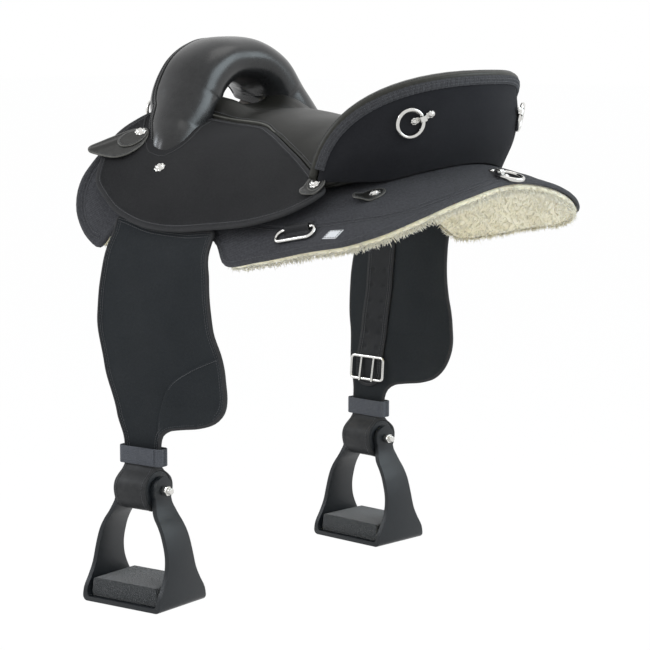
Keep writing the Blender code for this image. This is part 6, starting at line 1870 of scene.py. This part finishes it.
def clipHump(u, middle, wire, lift):
    half = wire + clipShape["clear"]
    return (lift + 2 * wire + clipShape["clear"]) * smooth((half * 1.9 - np.abs(u - middle)) / (half * 1.1))


def weldedRing(name, matrix, radius, wire, lift, node):
    obj = primitive(bpy.ops.mesh.primitive_torus_add, name, major_radius=radius, minor_radius=wire,
                    major_segments=72, minor_segments=20, location=(0, 0, lift + wire))
    for vert in obj.data.vertices:  # a small bead where the wire was welded
        angle = math.atan2(vert.co.y, vert.co.x)
        away = abs(angle) - ringShape["weldAt"]
        bead = 1 + ringShape["weld"] * float(ridge(away, ringShape["weldWide"])) * (angle > 0)
        reach = math.hypot(vert.co.x, vert.co.y)
        vert.co.x *= (radius + (reach - radius) * bead) / reach
        vert.co.y *= (radius + (reach - radius) * bead) / reach
    onlyThis(obj)
    bpy.ops.object.shade_smooth()
    obj.data.materials.append(finishes["nickel"])
    obj.data.transform(matrix)
    settle(obj, node, "nickel", node)


def pressedClip(name, matrix, lowU, highU, middle, wire, lift, node, heads):
    obj = primitive(bpy.ops.mesh.primitive_grid_add, name, x_subdivisions=64, y_subdivisions=8, size=1.0)
    for vert in obj.data.vertices:
        u = lowU + (vert.co.x + 0.5) * (highU - lowU)
        v = vert.co.y * clipShape["width"]
        endShare = min(1.0, min(u - lowU, highU - u) / clipShape["endRound"])
        v *= math.sqrt(max(0.05, 1 - (1 - endShare) ** 2))
        vert.co = (u, v, float(clipHump(np.array(u), middle, wire, lift)) + clipShape["lift"])
    finishModifier(obj, "SOLIDIFY", thickness=clipShape["thick"], offset=1.0)
    obj.data.materials.append(finishes["nickel"])
    finished(obj, 0.0003, 2, 50)
    obj.data.transform(matrix)
    settle(obj, "saddle", "nickel", node)
    for k, along in enumerate(heads):
        placeConcho("%s_head_%d" % (name, k), matrix @ Matrix.Translation((along, 0, 0)), "saddle",
                    clipShape["thick"], scale=clipShape["headSize"])


def ringSet(name, matrix, radius, wire, node, foot=0.016, lift=gap):
    weldedRing(name + "Ring", matrix, radius, wire, lift, node + "_ring")
    pressedClip(name + "Clip", matrix, radius * 0.15, radius + wire + foot, radius, wire, lift, node + "_clip",
                (radius * 0.35, radius + wire + foot * 0.62))


tilt = math.radians(ringShape["tilt"])
for sideName, side in leftRight:
    arc, high = side * ringShape["cantleArc"], ringShape["cantleHigh"]
    face = panelOuter + cantleShape["crown"]
    here = Vector(cantlePoint(arc, high, face))
    inward, upward, guess = ((Vector(cantlePoint(*spot)) - here).normalized() for spot in (
        (arc - side * 0.01, high, face), (arc, high + 0.01, face), (arc, high, face + 0.01)))
    outward = inward.cross(upward)
    outward = (outward * (1 if outward.dot(guess) > 0 else -1)).normalized()
    along = (inward * math.cos(tilt) + upward * math.sin(tilt)).normalized()
    ringFrame = axesMatrix(along, outward.cross(along).normalized(), outward, here)
    ringSet("cantle" + sideName.title(), ringFrame, ringShape["cantleRadius"], ringShape["wire"],
            "cantle_" + sideName)
    x, y, z = ringShape["frontAt"]
    ringFrame = axesMatrix((0, 0, 1), (0, 1, 0), (-1, 0, 0), (x, side * y, z))
    ringSet("front" + sideName.title(), ringFrame, ringShape["frontRadius"], ringShape["frontWire"],
            "front_" + sideName, 0.012, gap + 0.001)
ringSet("crupper", turned(drapeFrame(ringShape["crupperAt"], 1), -1.0, 0.0), ringShape["crupperRadius"],
        ringShape["wire"], "crupper", 0.014)

# Rigging dees under sewn keepers, and the bare tag.
deeShape = {
    "at": (0.138, 0.2690), "along": (0.058, -0.016), "long": 0.0300, "deep": 0.0105, "corner": 0.009,
    "wire": 0.0025, "clear": 0.0014, "keeper": 0.040, "keeperHalf": 0.0125, "keeperCorner": 0.0015,
    "keeperOut": 0.002, "keeperThick": 0.0016, "keeperSunk": 0.0002, "keeperRows": (0.0045, 0.0225),
    "rowIn": 0.003,
}
tagShape = {"outline": ((0.189, -0.274, "c"), (0.192, -0.257, "c"), (0.214, -0.254, "c"), (0.212, -0.272, "c")),
            "high": 0.0014, "low": -0.0005, "grid": 0.002, "edge": 0.0003, "row": 0.0018}
for sideName, side in leftRight:
    along, half = deeShape["along"], deeShape["keeper"] / 2
    deeFrame = turned(drapeFrame(deeShape["at"], side), along[1], side * -along[0])
    hoop = roundedBox(deeShape["long"], deeShape["deep"], deeShape["corner"], 10)
    dee = wireLoop("riggingDee_" + sideName,
                   [deeFrame @ Vector((y, x, deeShape["wire"] + deeShape["clear"])) for x, y in hoop],
                   deeShape["wire"])
    settle(dee, "rigging_dee_" + sideName, "nickel", "rigging_dee_" + sideName)

    def keeperTop(u, v, extra, frameAt=deeFrame):
        hump = clipHump(u, deeShape["deep"], deeShape["wire"], deeShape["clear"])
        return placed(frameAt, u, v, hump + deeShape["keeperThick"] + extra)

    def keeperLow(u, v, extra, frameAt=deeFrame):
        hump = clipHump(u, deeShape["deep"], deeShape["wire"], deeShape["clear"])
        return placed(frameAt, u, v, hump + extra - deeShape["keeperSunk"])

    keeperLoop = (np.array(roundedBox(deeShape["keeperHalf"], half, deeShape["keeperCorner"], 4))
                  + (deeShape["deep"] + deeShape["keeperOut"], 0.0))
    keeper = sheetPiece("deeKeeper_" + sideName, keeperLoop, keeperTop, keeperLow, "edgeTape", 0.0018, 0.0006)
    settle(keeper, "saddle", "cordura", "dee_keeper_" + sideName)
    for u in deeShape["keeperRows"]:
        row = half - deeShape["rowIn"]
        sewSheet("saddle", keeperTop, np.array(((u, -row), (u, row))))
tagLoop = loopThrough(tagShape["outline"], 0.003)
tag = sheetPiece("sideTag", tagLoop, drapeTop(tagShape["high"]), drapeTop(tagShape["low"]), "whiteTape",
                 tagShape["grid"], tagShape["edge"])
settle(tag, "saddle", "tag", "side_tag")
sewRim("saddle", drapeTop(tagShape["high"]), tagLoop, tagShape["row"])
for body, runs in sewn.items():
    for batch in range(0, len(runs), stitchLook["batch"]):
        some, step = runs[batch:batch + stitchLook["batch"]], len(stitchVerts)
        threadFaces = [tuple(i + k * step for i in f) for k in range(len(some)) for f in stitchFaces]
        settle(newPiece("stitches_%s_%d" % (body, batch // stitchLook["batch"]), np.concatenate(some),
                        threadFaces, "darkThread"), body)
bpy.data.objects.remove(conchoMaster, do_unlink=True)
print("rings, dees and tag made")

for nodeName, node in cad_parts.items():
    if nodeName.startswith("tree_"):
        for place in range(len(node.material_slots)):
            node.material_slots[place].material = finishes["treePolymer"]
